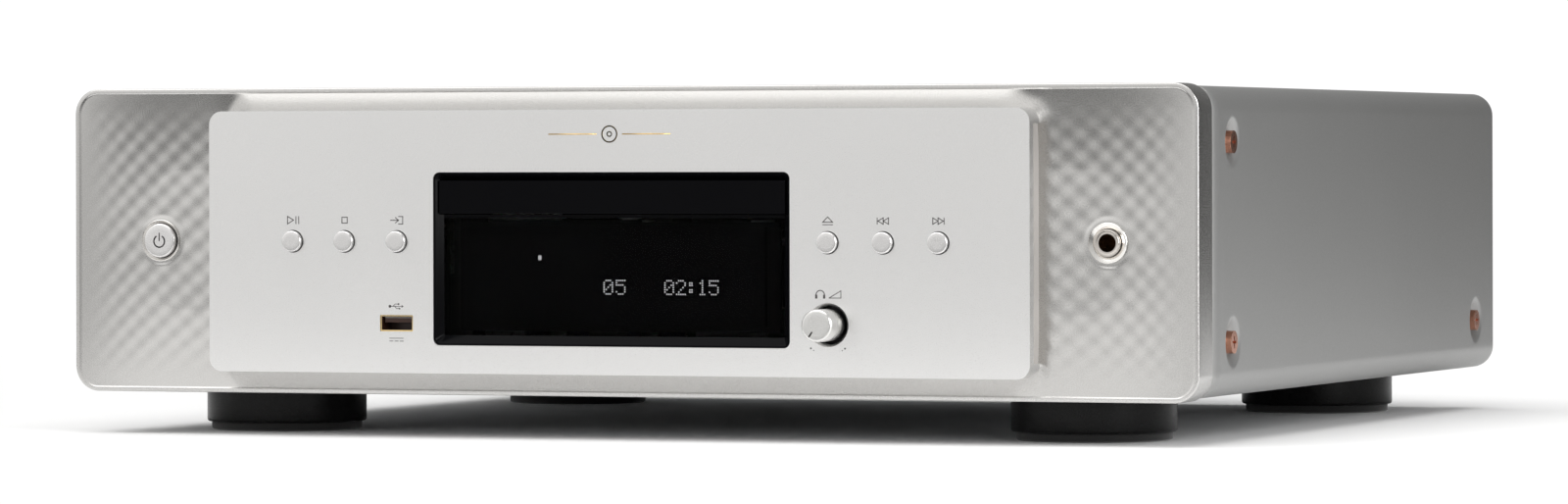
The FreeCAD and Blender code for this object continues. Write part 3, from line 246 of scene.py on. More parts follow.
foot_finish = surface("foot_plastic", (0.004, 0.004, 0.004), 0.0, 0.30, grain=2000.0, rough_vary=0.05,
                      bump_mm=0.003, extra={"Specular IOR Level": 0.16})
felt = surface("foot_felt", (0.010, 0.010, 0.010), 0.0, 0.95, grain=1600.0, bump_mm=0.08,
               extra={"Sheen Weight": 0.4, "Sheen Roughness": 0.5})
copper = surface("copper_screw", (0.72, 0.36, 0.25), 1.0, 0.22, grain=1400.0, bump_mm=0.004)
black_screw = surface("black_screw", (0.03, 0.03, 0.032), 0.8, 0.35, grain=1400.0)
zinc = surface("chassis_steel", (0.46, 0.47, 0.48), 0.9, 0.38, grain=420.0, vary=0.10, rough_vary=0.12,
               bump_mm=0.003, cloud=60.0)
can_steel = surface("motor_can", (0.50, 0.50, 0.50), 0.95, 0.30, grain=700.0)
rear_paint = surface("rear_paint", (0.022, 0.022, 0.022), 0.2, 0.50, grain=1600.0, bump_mm=0.02)
circuit_finish = circuit("circuit_board")
sleeve = surface("capacitor_sleeve", (0.015, 0.017, 0.06), 0.0, 0.25, grain=800.0)
ribbon = surface("cable_sleeve", (0.50, 0.50, 0.47), 0.0, 0.5, grain=600.0)
belt_finish = surface("belt_rubber", (0.02, 0.02, 0.02), 0.0, 0.6, grain=1800.0, bump_mm=0.02)
gold = surface("phono_metal", (0.80, 0.58, 0.24), 1.0, 0.20, grain=1500.0)
guide_finish = glassy("light_guide_plastic", (0.42, 0.40, 0.38), 0.30, 0.15)
lens_finish = glassy("display_glass", (0.50, 0.50, 0.52), 0.0, 1.0, ior=1.08, rough_vary=0.0)
pickup_glass = glassy("lens_glass", (0.55, 0.62, 0.85), 0.02, 0.9)
panel_finish = surface("display_panel", (0.003, 0.003, 0.0035), 0.0, 0.2, grain=900.0, bump_mm=0.0005,
                       extra={"Specular IOR Level": 0.02})
ink = surface("symbol_ink", (0.085, 0.08, 0.08), 0.0, 0.5, grain=4000.0, extra={"Specular IOR Level": 0.2})
gold_ink = surface("gold_mark", (0.72, 0.50, 0.20), 1.0, 0.30, grain=4000.0)
display_white = glow("display_dots", (0.85, 0.85, 0.85), 1.5)
bore_dark = surface("bore_dark", (0.20, 0.11, 0.05), 0.9, 0.30, grain=900.0, vary=0.3)
port_dark = surface("port_dark", (0.035, 0.012, 0.006), 0.2, 0.35, grain=900.0)

white_plastic = surface("white_plastic", (0.75, 0.75, 0.73), 0.0, 0.35, grain=1500.0)
red_plastic = surface("red_plastic", (0.55, 0.02, 0.02), 0.0, 0.35, grain=1500.0)
orange_plastic = surface("orange_plastic", (0.80, 0.25, 0.03), 0.0, 0.35, grain=1500.0)
rear_ink = surface("rear_ink", (0.50, 0.50, 0.50), 0.0, 0.6, grain=3000.0)

SLOT_FINISH = {
    "front_frame_finish": frame_finish, "plate_finish": plate_finish, "light_guide_plastic": guide_finish,
    "window_black": gloss_black, "display_glass": lens_finish, "display_panel": panel_finish,
    "button_metal": button_finish, "trim_ring_metal": ring_finish, "socket_metal": socket_finish,
    "knob_metal": knob_finish, "steel_shaft": shaft_finish, "black_plastic": moulded_black,
    "tray_plastic": tray_plastic, "gear_plastic": acetal, "circuit_board": circuit_finish,
    "capacitor_sleeve": sleeve, "cover_paint": cover_finish, "chassis_steel": zinc,
    "rear_paint": rear_paint, "foot_plastic": foot_finish, "foot_felt": felt, "copper_screw": copper,
    "black_screw": black_screw, "motor_can": can_steel, "lens_glass": pickup_glass,
    "belt_rubber": belt_finish, "cable_sleeve": ribbon, "phono_metal": gold,
}
NODE_SLOT = {s["node"]: s["material_slot"] for s in frame["record"]["subparts"]}
NODE_BODY = {n: b for b, members in frame["record"]["behaviour"]["bodies"].items() for n in members}


# ---- mesh helpers ---------------------------------------------------------------------------------------
def make_object(name, verts, faces, material, smooth=True):
    mesh = bpy.data.meshes.new(name)
    mesh.from_pydata([tuple(c * MM for c in v) for v in verts], [], faces)
    mesh.validate()
    mesh.materials.append(material)
    made = bpy.data.objects.new(name, mesh)
    bpy.context.scene.collection.objects.link(made)
    if smooth:
        mesh.polygons.foreach_set("use_smooth", [True] * len(mesh.polygons))
    return made


def add_piece(name, verts, faces, slot, stands_for=(), body=None, material=None, sharp=35.0):
    """A new piece in place, on its body, with its finish and the CAD nodes that it stands for."""
    made = make_object(name, verts, faces, material or SLOT_FINISH[slot])
    if sharp:
        made.data.set_sharp_from_angle(angle=math.radians(sharp))
    if stands_for:
        body = NODE_BODY[stands_for[0]]
    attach(made, body)
    if stands_for:
        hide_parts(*stands_for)
    return made


def bevel(made, width_mm, segments=3, angle=32.0):
    made.modifiers.new("Bevel", "BEVEL")
    modifier = made.modifiers["Bevel"]
    modifier.width = width_mm * MM
    modifier.segments = segments
    modifier.limit_method = "ANGLE"
    modifier.angle_limit = math.radians(angle)


def join_rings(rings, closed_ring=True):
    """Faces between equal rings of points, stored one ring after another."""
    count = len(rings[0])
    verts = [p for ring in rings for p in ring]
    faces = []
    span = count if closed_ring else count - 1
    for r in range(len(rings) - 1):
        a, b = r * count, (r + 1) * count
        for i in range(span):
            j = (i + 1) % count
            faces.append((a + i, a + j, b + j, b + i))
    return verts, faces


POINT_R = 1e-4  # stands for a radius of 0, so that no two points of a ring meet


def lathe(profile, centre, axis="y", sides=96):
    """A profile of (radius, distance) turned round the Y or Z axis; a radius of 0 closes an end."""
    cx, cy, cz = centre
    rings = []
    for r, d in profile:
        ring = []
        for i in range(sides):
            a = 2 * math.pi * i / sides
            c, s = math.cos(a) * max(r, POINT_R), math.sin(a) * max(r, POINT_R)
            ring.append((cx + c, cy + d, cz + s) if axis == "y" else (cx + c, cy - s, cz + d))
        rings.append(ring)
    verts, faces = join_rings(rings)
    return verts, [tuple(reversed(f)) for f in faces]


def rounded_corner(wall_r, radius, steps):
    """Profile points for the rounded edge between a face at distance 0 and a wall of radius wall_r."""
    points = []
    for i in range(steps + 1):
        a = math.pi / 2 * i / steps
        points.append((wall_r - radius + radius * math.sin(a), radius - radius * math.cos(a)))
    return points


def merge(*parts):
    verts, faces = [], []
    for v, f in parts:
        base = len(verts)
        verts += v
        faces += [tuple(i + base for i in face) for face in f]
    return verts, faces


def smoothstep(a, b, x):
    t = np.clip((x - a) / (b - a), 0, 1)
    return t * t * (3 - 2 * t)


# ---- camera, light and floor ----------------------------------------------------------------------------
SENSOR_WIDTH, LENS_LENGTH = 36.0, 150.92  # millimetres
SHIFT_UP = -0.0602
CAMERA_PLACE = (0.91543, -2.40728, 0.10283)
CAMERA_YAW, CAMERA_ROLL = 21.04, -0.125  # degrees


def set_camera():
    data = bpy.data.cameras.new("camera")
    data.sensor_width = SENSOR_WIDTH
    data.lens = LENS_LENGTH
    data.shift_y = SHIFT_UP
    data.clip_start = 0.05
    data.clip_end = 60.0
    camera = bpy.data.objects.new("camera", data)
    bpy.context.scene.collection.objects.link(camera)
    yaw = math.radians(CAMERA_YAW)
    roll = math.radians(CAMERA_ROLL)
    ahead = Vector((-math.sin(yaw), math.cos(yaw), 0))
    right = Vector((math.cos(yaw), math.sin(yaw), 0))
    up = Vector((0, 0, 1))
    side = right * math.cos(roll) + up * math.sin(roll)
    top = up * math.cos(roll) - right * math.sin(roll)
    rows = Matrix((side, top, -ahead)).transposed()
    camera.matrix_world = Matrix.Translation(CAMERA_PLACE) @ rows.to_4x4()
    bpy.context.scene.camera = camera


def area_light(name, place, aim, width, height, watts):
    data = bpy.data.lights.new(name, "AREA")
    data.shape = "RECTANGLE"
    data.size = width
    data.size_y = height
    data.energy = watts
    lamp = bpy.data.objects.new(name, data)
    bpy.context.scene.collection.objects.link(lamp)
    lamp.location = place
    direction = Vector(aim) - Vector(place)
    lamp.rotation_euler = direction.to_track_quat("-Z", "Y").to_euler()
    return lamp


def set_world():
    """White behind the object for the camera; for everything else a room lit from the front and above."""
    world = bpy.data.worlds.new("studio")
    bpy.context.scene.world = world
    world.use_nodes = True
    tree = world.node_tree
    link = tree.links.new
    room = tree.nodes["Background"]
    where = tree.nodes.new("ShaderNodeTexCoord")
    parts = tree.nodes.new("ShaderNodeSeparateXYZ")
    link(where.outputs["Generated"], parts.inputs[0])

    def ramp(axis, start, end, low, high):
        made = tree.nodes.new("ShaderNodeMapRange")
        made.interpolation_type = "SMOOTHSTEP"
        for key, value in (("From Min", start), ("From Max", end), ("To Min", low), ("To Max", high)):
            made.inputs[key].default_value = value
        link(parts.outputs[axis], made.inputs["Value"])
        return made.outputs["Result"]

    def combine(operation, first, second):
        made = tree.nodes.new("ShaderNodeMath")
        made.operation = operation
        link(first, made.inputs[0])
        link(second, made.inputs[1])
        return made.outputs[0]

    height = ramp("Z", *ROOM_RISE)
    front = ramp("Y", *ROOM_FRONT)
    across = ramp("X", *ROOM_ACROSS)
    link(combine("MULTIPLY", combine("MULTIPLY", height, front), across), room.inputs["Strength"])
    room.inputs["Color"].default_value = (1.0, 0.995, 0.985, 1)
    backdrop = tree.nodes.new("ShaderNodeBackground")
    backdrop.inputs["Color"].default_value = (1.0, 1.0, 1.0, 1)
    backdrop.inputs["Strength"].default_value = 1.05
    path = tree.nodes.new("ShaderNodeLightPath")
    mix = tree.nodes.new("ShaderNodeMixShader")
    link(path.outputs["Is Camera Ray"], mix.inputs["Fac"])
    link(room.outputs["Background"], mix.inputs[1])
    link(backdrop.outputs["Background"], mix.inputs[2])
    link(mix.outputs["Shader"], tree.nodes["World Output"].inputs["Surface"])


def set_floor():
    x0, x1, y0, y1 = FLOOR_EDGES
    corners = [(x0, y0, 0), (x1, y0, 0), (x1, y1, 0), (x0, y1, 0)]
    paper = surface("floor_paper", (0.95, 0.95, 0.95), 0.0, 0.8, grain=300.0, vary=0.004, bump_mm=0.0,
                    extra={"Specular IOR Level": 0.1})
    make_object("studio_floor", corners, [(0, 1, 2, 3)], paper, smooth=False)


def sun(name, aim, strength, angle):
    """A sun whose disc is angle degrees wide, so a wide one gives soft shadows."""
    data = bpy.data.lights.new(name, "SUN")
    data.energy = strength
    data.angle = math.radians(angle)
    lamp = bpy.data.objects.new(name, data)
    bpy.context.scene.collection.objects.link(lamp)
    lamp.rotation_euler = Vector(aim).to_track_quat("-Z", "Y").to_euler()


# Each of the room's ramps: from this part of a ray's direction to this, from this strength to this.
ROOM_RISE = (-0.36, 0.24, 0.14, 1.14)
ROOM_FRONT = (0.35, -0.55, 0.20, 1.0)
ROOM_ACROSS = (-0.7, 0.8, 1.10, 0.42)
FLOOR_EDGES = (-700.0, 620.0, -370.0, 1000.0)  # left, right, front and back, in millimetres
set_camera()
set_world()
set_floor()
sun("sky", (0.14, 0.05, -1.0), 1.95, 80)
area_light("front_right", (0.85, -0.60, 0.30), (0.22, -0.12, 0.08), 0.5, 0.5, 5.5)
bpy.context.scene.view_settings.view_transform = "Standard"


# ---- front frame ----------------------------------------------------------------------------------------
LIP = 1.5  # flat rim round the dish
LIP_STEP = 0.3
STEP_NEAR, STEP_FAR = 5.4, 3.3  # spacing of the wing pattern beside the plate and at the rim
STEP_Z = 4.1
PATTERN_HEIGHT = 0.08
MAIN_SHARE = 0.63  # of the pattern that runs along its stronger diagonal
WING_COVE, CENTRE_COVE = 42.0, 9.0  # width of the cove in from the rim
FRAME_ROWS, WING_COLUMNS, MIDDLE_COLUMNS, CORNER_STEPS = 170, 120, 60, 24  # of the front's grid
POWER_HOLE_R, PHONES_HOLE_R = 6.85, 5.4
SPOT_OUTER, SPOT_INNER = 9.4, 8.2  # the front is flat round a hole inside these radii
SPOT_RISE = 0.25
FRAME_WALL = 1.2


def cove(distance, width):
    """Share of the full depth at a distance in from an edge."""
    t = np.clip(distance / width, 0, 1)
    return t * (2 - t)


def dish_y(x, z):
    """The front's surface: a broad cove on the wings, a tight one above and below the plate."""
    plate_x = PLATE_HIGH.x
    in_x = rounded_half(z - MID_Z, HALF_X, HALF_Z, LIP) - np.abs(x)
    in_z = rounded_half(x, HALF_Z, HALF_X, LIP) - np.abs(z - MID_Z)
    wing = smoothstep(plate_x - 14, plate_x + 6, np.abs(x))
    width_z = CENTRE_COVE + (WING_COVE - CENTRE_COVE) * wing
    depth = DISH_DEPTH * cove(in_x, WING_COVE) * cove(in_z, width_z)
    inside = np.maximum(np.minimum(in_x, in_z), 0)
    depth = np.minimum(depth + LIP_STEP * smoothstep(0.0, 0.5, inside), DISH_DEPTH)
    s = np.clip(np.abs(x) - plate_x, -8, HALF_X - plate_x)
    run = HALF_X - plate_x
    drop = STEP_NEAR - STEP_FAR
    phase = -(run / drop) * np.log(1 - drop * s / (run * STEP_NEAR))
    height = (z - MID_Z) / STEP_Z
    bumps = (MAIN_SHARE * np.cos(math.pi * (phase + height))
             + (1 - MAIN_SHARE) * np.cos(math.pi * (phase - height)))
    fade = smoothstep(1.5, 20.0, inside) * smoothstep(plate_x - 1, plate_x + 5, np.abs(x))
    return RIM_Y + depth - PATTERN_HEIGHT * bumps * fade


def rounded_half(across, half, half_across, inset):
    """Half the size of the rounded outline, drawn in by inset, at a distance across from its middle."""
    radius = FRAME_RADIUS - inset
    over = np.clip(np.abs(across) - (half_across - FRAME_RADIUS), 0, radius)
    return half - FRAME_RADIUS + np.sqrt(radius ** 2 - over ** 2)


def build_front_frame():
    """The dished front as a grid, then its rim and band as rings round the grid's border."""
    radius = FRAME_RADIUS - LIP
    corner = [math.sin(math.pi / 2 * i / CORNER_STEPS) for i in range(1, CORNER_STEPS + 1)]
    straight = HALF_Z - FRAME_RADIUS
    z_list = [-straight - radius * c for c in reversed(corner)]
    z_list += [-straight + 2 * straight * i / FRAME_ROWS for i in range(FRAME_ROWS + 1)]
    z_list += [straight + radius * c for c in corner]
    z = np.array(z_list) + MID_Z
    plate_x = PLATE_HIGH.x
    edge = plate_x - 12
    columns = []
    half = rounded_half(z - MID_Z, HALF_X, HALF_Z, LIP)
    for i in range(WING_COLUMNS + 1):
        columns.append(-half + (half - edge) * i / WING_COLUMNS)
    for i in range(1, MIDDLE_COLUMNS):
        columns.append(np.full_like(z, -edge + 2 * edge * i / MIDDLE_COLUMNS))
    for i in range(WING_COLUMNS + 1):
        columns.append(edge + (half - edge) * i / WING_COLUMNS)
    x = np.array(columns).T
    zz = np.repeat(z[:, None], x.shape[1], axis=1)
    y = dish_y(x, zz)
    rows, cols = x.shape
    holes = [(node_middle("power_ring"), POWER_HOLE_R), (node_middle("phones_ring"), PHONES_HOLE_R)]
    keep = np.ones((rows - 1, cols - 1), bool)
    mx, mz = (x[:-1, :-1] + x[1:, 1:]) / 2, (zz[:-1, :-1] + zz[1:, 1:]) / 2
    for middle, r in holes:
        away = np.hypot(x - middle.x, zz - middle.z)
        near = np.abs(away - r) < 0.33
        pull = np.where(near, r / np.maximum(away, 1e-6), 1.0)
        x = middle.x + (x - middle.x) * pull
        zz = middle.z + (zz - middle.z) * pull
        keep &= np.hypot(mx - middle.x, mz - middle.z) > r
        flat = smoothstep(SPOT_OUTER, SPOT_INNER, np.hypot(x - middle.x, zz - middle.z))
        y = y * (1 - flat) + (FLOOR_Y - SPOT_RISE) * flat
    keep &= ~((np.abs(mx) < plate_x - 9) & (mz > PLATE_LOW.z + 7) & (mz < PLATE_HIGH.z - 7))
    verts = [tuple(p) for p in np.stack([x, y, zz], axis=2).reshape(-1, 3)]
    faces = []
    for r in range(rows - 1):
        for c in range(cols - 1):
            if keep[r, c]:
                a = r * cols + c
                faces.append((a, a + 1, a + cols + 1, a + cols))
    border = list(range(cols))
    border += [r * cols + cols - 1 for r in range(1, rows)]
    border += [(rows - 1) * cols + c for c in range(cols - 2, -1, -1)]
    border += [r * cols for r in range(rows - 2, 0, -1)]
    deep = FRAME_HIGH.y - RIM_Y
    lip_profile = [(LIP - 0.06, 0.0), (0.62, 0.0), (0.36, 0.05), (0.14, 0.2), (0.03, 0.42), (0.0, 0.7),
                   (0.0, 6.0), (0.0, deep - 1.0), (0.1, deep - 0.45), (0.4, deep - 0.1), (0.8, deep),
                   (2.6, deep), (3.0, deep - 0.5), (3.0, 8.0)]
    corner_x, corner_z = HALF_X - FRAME_RADIUS, HALF_Z - FRAME_RADIUS
    base_points = []
    for i in border:
        px, _, pz = verts[i]
        cx = max(-corner_x, min(corner_x, px))
        cz = max(-corner_z, min(corner_z, pz - MID_Z)) + MID_Z
        dx, dz = px - cx, pz - cz
        length = math.hypot(dx, dz)
        base_points.append((cx, cz, dx / length, dz / length))
    last = border
    count = len(border)
    for inset, depth in lip_profile:
        start = len(verts)
        for cx, cz, dx, dz in base_points:
            reach = FRAME_RADIUS - inset
            verts.append((cx + dx * reach, RIM_Y + depth, cz + dz * reach))
        ring = list(range(start, start + count))
        for i in range(count):
            j = (i + 1) % count
            faces.append((last[j], last[i], ring[i], ring[j]))
        last = ring
    made = add_piece("front_frame_shell", verts, faces, "front_frame_finish", ["front_frame"], sharp=50)
    thick = made.modifiers.new("Thickness", "SOLIDIFY")
    thick.thickness = FRAME_WALL * MM
    thick.offset = -1
    return made


build_front_frame()


# ---- cover ----------------------------------------------------------------------------------------------
SHEET = 1.5
COVER_RADIUS = 9.0
UNDER_EDGE_X = 206.0  # where the sheet, folded under the chassis, ends
DIMPLE_R = 9.4
DIMPLE_DEPTH = 2.4
SCREW_SPOTS = [(RIM_Y + 43.0, 108.1), (RIM_Y + 43.0, 36.4), (RIM_Y + 376.0, 36.4)]  # (y, z) on each side


def graded(low, high, spots, coarse, fine, reach):
    """Numbers from low to high, closely spaced within reach of each spot."""
    values = [low]
    while values[-1] < high:
        here = values[-1]
        step = fine if any(abs(here - s) < reach or 0 < s - here < reach + coarse for s in spots) else coarse
        values.append(here + step)
    values[-1] = high
    return values


def build_cover():
    """The folded sheet as one section carried back from the front, with dimples and a rolled rear edge."""
    half = COVER_HIGH.x
    low, high = COVER_LOW.z, COVER_HIGH.z
    radius = COVER_RADIUS
    spots_z = sorted({z for _, z in SCREW_SPOTS})
    side_z = graded(low + radius, high - radius, spots_z, 6.0, 0.75, 10.5)
    arc = [math.pi / 2 * i / 12 for i in range(1, 12)]
    section = [(UNDER_EDGE_X, low), (half - radius, low)]
    section += [(half - radius + radius * math.sin(a), low + radius - radius * math.cos(a)) for a in arc]
    section += [(half, z) for z in side_z]
    section += [(half - radius + radius * math.cos(a), high - radius + radius * math.sin(a)) for a in arc]
    section += [(half - radius, high)]
    section += [(half - radius - (half - radius) * i / 12, high) for i in range(1, 12)]
    section += [(0.0, high)] + [(-x, z) for x, z in reversed(section)]
    sx = np.array([p[0] for p in section])
    sz = np.array([p[1] for p in section])
    spots_y = sorted({y for y, _ in SCREW_SPOTS})
    y_list = graded(COVER_LOW.y, COVER_HIGH.y - 0.9, spots_y, 12.0, 0.75, 10.5)
    rings = []
    for y in y_list:
        x = sx.copy()
        for sy, spot_z in SCREW_SPOTS:
            away = np.hypot(sz - spot_z, y - sy)
            dip = DIMPLE_DEPTH * (1 - smoothstep(4.0, DIMPLE_R, away))
            side = np.abs(sx) >= half - 1e-6
            x = np.where(side, x - np.sign(sx) * dip, x)
        rings.append([(a, y, b) for a, b in zip(x, sz)])
    centre_z = (low + high) / 2
    for inset, y in ((0.12, COVER_HIGH.y - 0.45), (0.4, COVER_HIGH.y - 0.12), (0.8, COVER_HIGH.y)):
        rings.append([(a * (1 - inset / half), y, centre_z + (b - centre_z) * (1 - inset / (high - centre_z)))
                      for a, b in section])
    verts, faces = join_rings(rings, closed_ring=False)
    made = add_piece("cover_shell", verts, faces, "cover_paint", ["cover"], sharp=60)
    thick = made.modifiers.new("Thickness", "SOLIDIFY")
    thick.thickness = SHEET * MM
    thick.offset = 1
    lip = []
    for y, pull in ((COVER_HIGH.y - 0.5, 0.9), (COVER_HIGH.y - 0.5, 6.0), (COVER_HIGH.y - 1.5, 6.0)):
        lip.append([(a - math.copysign(min(pull, abs(a)), a) if abs(a) > half - 12 else a, y,
                     max(low + 0.9, min(b, high - (pull if pull < 5 else 14.0))))
                    for a, b in section])
    verts, faces = join_rings(lip, closed_ring=False)
    add_piece("cover_rear_lip", verts, faces, "cover_paint", body="player", sharp=40)


build_cover()


# ---- control plate and its parts ------------------------------------------------------------------------
def soften(node, width_mm, segments=3, angle=32.0):
    """Rounds a CAD node's edges with modifiers; its mesh stays as it is."""
    made = frame["nodes"][node]
    flat = made.modifiers.new("Flat", "DECIMATE")
    flat.decimate_type = "DISSOLVE"
    flat.angle_limit = math.radians(0.6)
    bevel(made, width_mm, segments, angle)


BUTTON_R, BUTTON_HOLE_R = 3.86, 4.0
POWER_BUTTON_R, POWER_BORE_R = 6.35, 6.5
PRESSED_BUTTONS = ("play_button", "stop_button", "input_button", "eject_button", "previous_button",
                   "next_button")
LOWEST_SETTING = -125  # degrees from the right, where the knob's notch points
KNOB_NOTCH = ((2.6, -0.28), (4.9, -0.28), (4.9, 0.28), (2.6, 0.28))  # (out from the middle, across)


def gap_shade_sleeve(name, centre, face_y, r, depth=4.0):
    """Black ring inside a hole: painted shade that stands for the shaded gap round a button."""
    ring = [(r - 0.06, depth), (r - 0.06, 0.0), (r + 0.5, 0.0), (r + 0.5, depth)]
    verts, faces = join_lathe(ring, (centre.x, face_y, centre.z), sides=64)
    add_piece(name, verts, faces, "black_plastic", body="player")


def build_buttons():
    for node in PRESSED_BUTTONS:
        low, high = node_box(node)
        centre = (low + high) / 2
        points = [(0.0, 0.0), (2.0, 0.0)] + rounded_corner(BUTTON_R, 0.5, 6)
        points += [(BUTTON_R, 6.4), (5.0, 6.4), (5.0, 8.0), (0.0, 8.0)]
        verts, faces = lathe(points, (centre.x, low.y, centre.z))
        add_piece(node + "_cap", verts, faces, "button_metal", [node])
        # black ring in the hole: painted shade for the gap round the button
        gap_shade_sleeve(node + "_gap_shade", centre, PLATE_Y + 0.12, BUTTON_HOLE_R)
    low, high = node_box("power_button")
    centre = (low + high) / 2
    points = [(0.0, 0.0), (4.0, 0.0)] + rounded_corner(POWER_BUTTON_R, 0.7, 7)
    tall = high.y - low.y
    points += [(POWER_BUTTON_R, 8.8), (4.0, 8.8), (4.0, tall), (0.0, tall)]
    verts, faces = lathe(points, (centre.x, low.y, centre.z), sides=128)
    add_piece("power_button_cap", verts, faces, "button_metal", ["power_button"])
    # black ring in the bore: painted shade for the gap round the power button
    gap_shade_sleeve("power_button_gap_shade", centre, node_box("power_ring")[0].y + 0.9, POWER_BORE_R, 3.0)


def build_knob():
    """Level knob: a flat turned face with a rounded edge, and a dark notch line near its rim."""
    low, high = node_box("level_knob")
    centre = (low + high) / 2
    r = (high.x - low.x) / 2 + 0.02
    points = [(0.0, 0.0), (r * 0.6, 0.0)] + rounded_corner(r, 0.9, 7)
    points += [(r, high.y - low.y), (3.2, high.y - low.y), (3.2, 6.0), (0.0, 6.0)]
    verts, faces = lathe(points, (centre.x, low.y, centre.z), sides=128)
    add_piece("level_knob_cap", verts, faces, "knob_metal", ["level_knob"])
    angle = math.radians(LOWEST_SETTING)
    along = (math.cos(angle), math.sin(angle))
    across = (-along[1], along[0])
    corners = []
    for reach, side in KNOB_NOTCH:
        corners.append((centre.x + along[0] * reach + across[0] * side,
                        centre.z + along[1] * reach + across[1] * side))
    verts, faces = slab(corners, low.y, low.y + 0.02)
    add_piece("level_notch", verts, faces, "knob_metal", body="level_knob", material=ink)


def build_rings():
    for node, outer, inner in (("power_ring", 7.8, 6.6), ("phones_ring", 7.3, 5.15)):
        low, high = node_box(node)
        centre = (low + high) / 2
        deep = high.y - low.y
        points = [(inner, deep), (inner, 0.95), (inner + 0.1, 0.8), (inner + 0.5, 0.6), (outer - 0.35, 0.05)]
        points += [(outer - 0.2, 0.0), (outer - 0.06, 0.1), (outer, 0.35), (outer, 1.35), (outer - 0.8, 1.35)]
        points += [(inner + 0.25, 1.35), (inner + 0.25, deep)]
        verts, faces = join_lathe(points, (centre.x, low.y, centre.z))
        add_piece(node + "_trim", verts, faces, "trim_ring_metal", [node])
    low, high = node_box("phones_socket")
    x, z = (low.x + high.x) / 2, (low.z + high.z) / 2
    mouth = [(3.25, 6.0), (3.25, 0.9), (3.45, 0.45), (3.9, 0.22), (4.4, 0.22), (4.75, 0.5), (4.9, 0.9),
             (4.98, 4.0)]
    verts, faces = lathe(mouth, (x, low.y - 0.28, z))
    add_piece("phones_socket_nose", verts, faces, "socket_metal", body="player")
    verts, faces = lathe([(3.22, 0.0), (3.22, 20.0), (0.0, 20.0)], (x, low.y + 5.6, z), sides=48)
    add_piece("phones_socket_bore", verts, faces, "socket_metal", body="player", material=bore_dark)


def join_lathe(profile, centre, axis="y", sides=128):
    """A closed ring of section: the profile's last point joins its first."""
    return lathe(profile + [profile[0]], centre, axis, sides)


def slab(corners, y0, y1):
    """A flat many-sided plate between two planes of Y; corners are (x, z), anticlockwise from the front."""
    n = len(corners)
    verts = [(x, y0, z) for x, z in corners] + [(x, y1, z) for x, z in corners]
    faces = [tuple(range(n)), tuple(reversed(range(n, 2 * n)))]
    faces += [(i, i + n, (i + 1) % n + n, (i + 1) % n) for i in range(n)]
    return verts, faces


def outline_stroke(points, width, closed=True):
    """Thin bars along a line of (x, z) points."""
    parts = []
    count = len(points)
    for i in range(count if closed else count - 1):
        (x0, z0), (x1, z1) = points[i], points[(i + 1) % count]
        dx, dz = x1 - x0, z1 - z0
        length = math.hypot(dx, dz)
        dx, dz = dx / length * width / 2, dz / length * width / 2
        parts.append([(x0 - dx + dz, z0 - dz - dx), (x1 + dx + dz, z1 + dz - dx),
                      (x1 + dx - dz, z1 + dz + dx), (x0 - dx - dz, z0 - dz + dx)])
    return parts


def circle_points(x, z, r, start=0.0, end=360.0, steps=28):
    angles = [math.radians(start + (end - start) * i / steps) for i in range(steps + 1)]
    return [(x + r * math.cos(a), z + r * math.sin(a)) for a in angles]


def bar(x0, x1, z0, z1):
    return [(x0, z0), (x1, z0), (x1, z1), (x0, z1)]


SYMBOL_LINE = 0.26
SYMBOL_RISE = 0.03
SYMBOL_UP = 7.8  # above the middle of a button


def print_marks(name, shapes, face_y, body, material, slot):
    """Printed marks: thin plates that stand just proud of a face."""
    parts = [slab(shape, face_y - SYMBOL_RISE, face_y + 0.02) for shape in shapes]
    verts, faces = merge(*parts)
    add_piece(name, verts, faces, slot, body=body, material=material, sharp=0)


def placed(shapes, x, z, size=1.0):
    return [[(x + size * a, z + size * b) for a, b in shape] for shape in shapes]


def triangle(x, z, size, heading):
    """Three points of a triangle about (x, z), pointing along heading degrees."""
    return [(x + size * math.cos(math.radians(heading + a)), z + size * math.sin(math.radians(heading + a)))
            for a in (0, 120, 240)]


def skip_symbol(way):
    """Two triangles and a bar, pointing left (-1) or right (1)."""
    heading = 0 if way > 0 else 180
    return (outline_stroke(triangle(-way * 1.15, 0, 1.05, heading), SYMBOL_LINE)
            + outline_stroke(triangle(way * 0.45, 0, 1.05, heading), SYMBOL_LINE)
            + [bar(way * 1.75 - 0.12, way * 1.75 + 0.12, -1.0, 1.0)])


def button_symbols():
    line = SYMBOL_LINE
    play = outline_stroke(triangle(-1.1, 0, 1.3, 0), line)
    play += [bar(x, x + 0.26, -1.15, 1.15) for x in (0.85, 1.75)]
    stop = outline_stroke(bar(-0.85, 0.85, -0.85, 0.85), line)
    source = outline_stroke([(0.6, 1.1), (1.9, 1.1), (1.9, -1.1), (0.6, -1.1)], line, closed=False)
    source += [bar(-2.1, 0.5, -line / 2, line / 2)]
    source += outline_stroke([(-0.4, 0.75), (0.55, 0), (-0.4, -0.75)], line, closed=False)
    eject = outline_stroke([(-1.5, -0.35), (1.5, -0.35), (0, 1.15)], line) + [bar(-1.6, 1.6, -1.2, -0.95)]
    return {"play_button": play, "stop_button": stop, "input_button": source, "eject_button": eject,
            "previous_button": skip_symbol(-1), "next_button": skip_symbol(1)}


def port_symbol():
    """The trident that marks a data port."""
    shapes = [bar(-2.3, 1.7, -0.11, 0.11), circle_points(-2.4, 0, 0.5, steps=14)[:-1],
              triangle(2.1, 0, 0.55, 0)]
    shapes += outline_stroke([(-1.3, 0), (-0.5, 0.75), (0.5, 0.75)], 0.2, closed=False)
    shapes += outline_stroke([(-0.7, 0), (0.1, -0.75), (0.9, -0.75)], 0.2, closed=False)
    return shapes + [circle_points(0.75, 0.75, 0.32, steps=12)[:-1], bar(0.9, 1.4, -1.0, -0.5)]


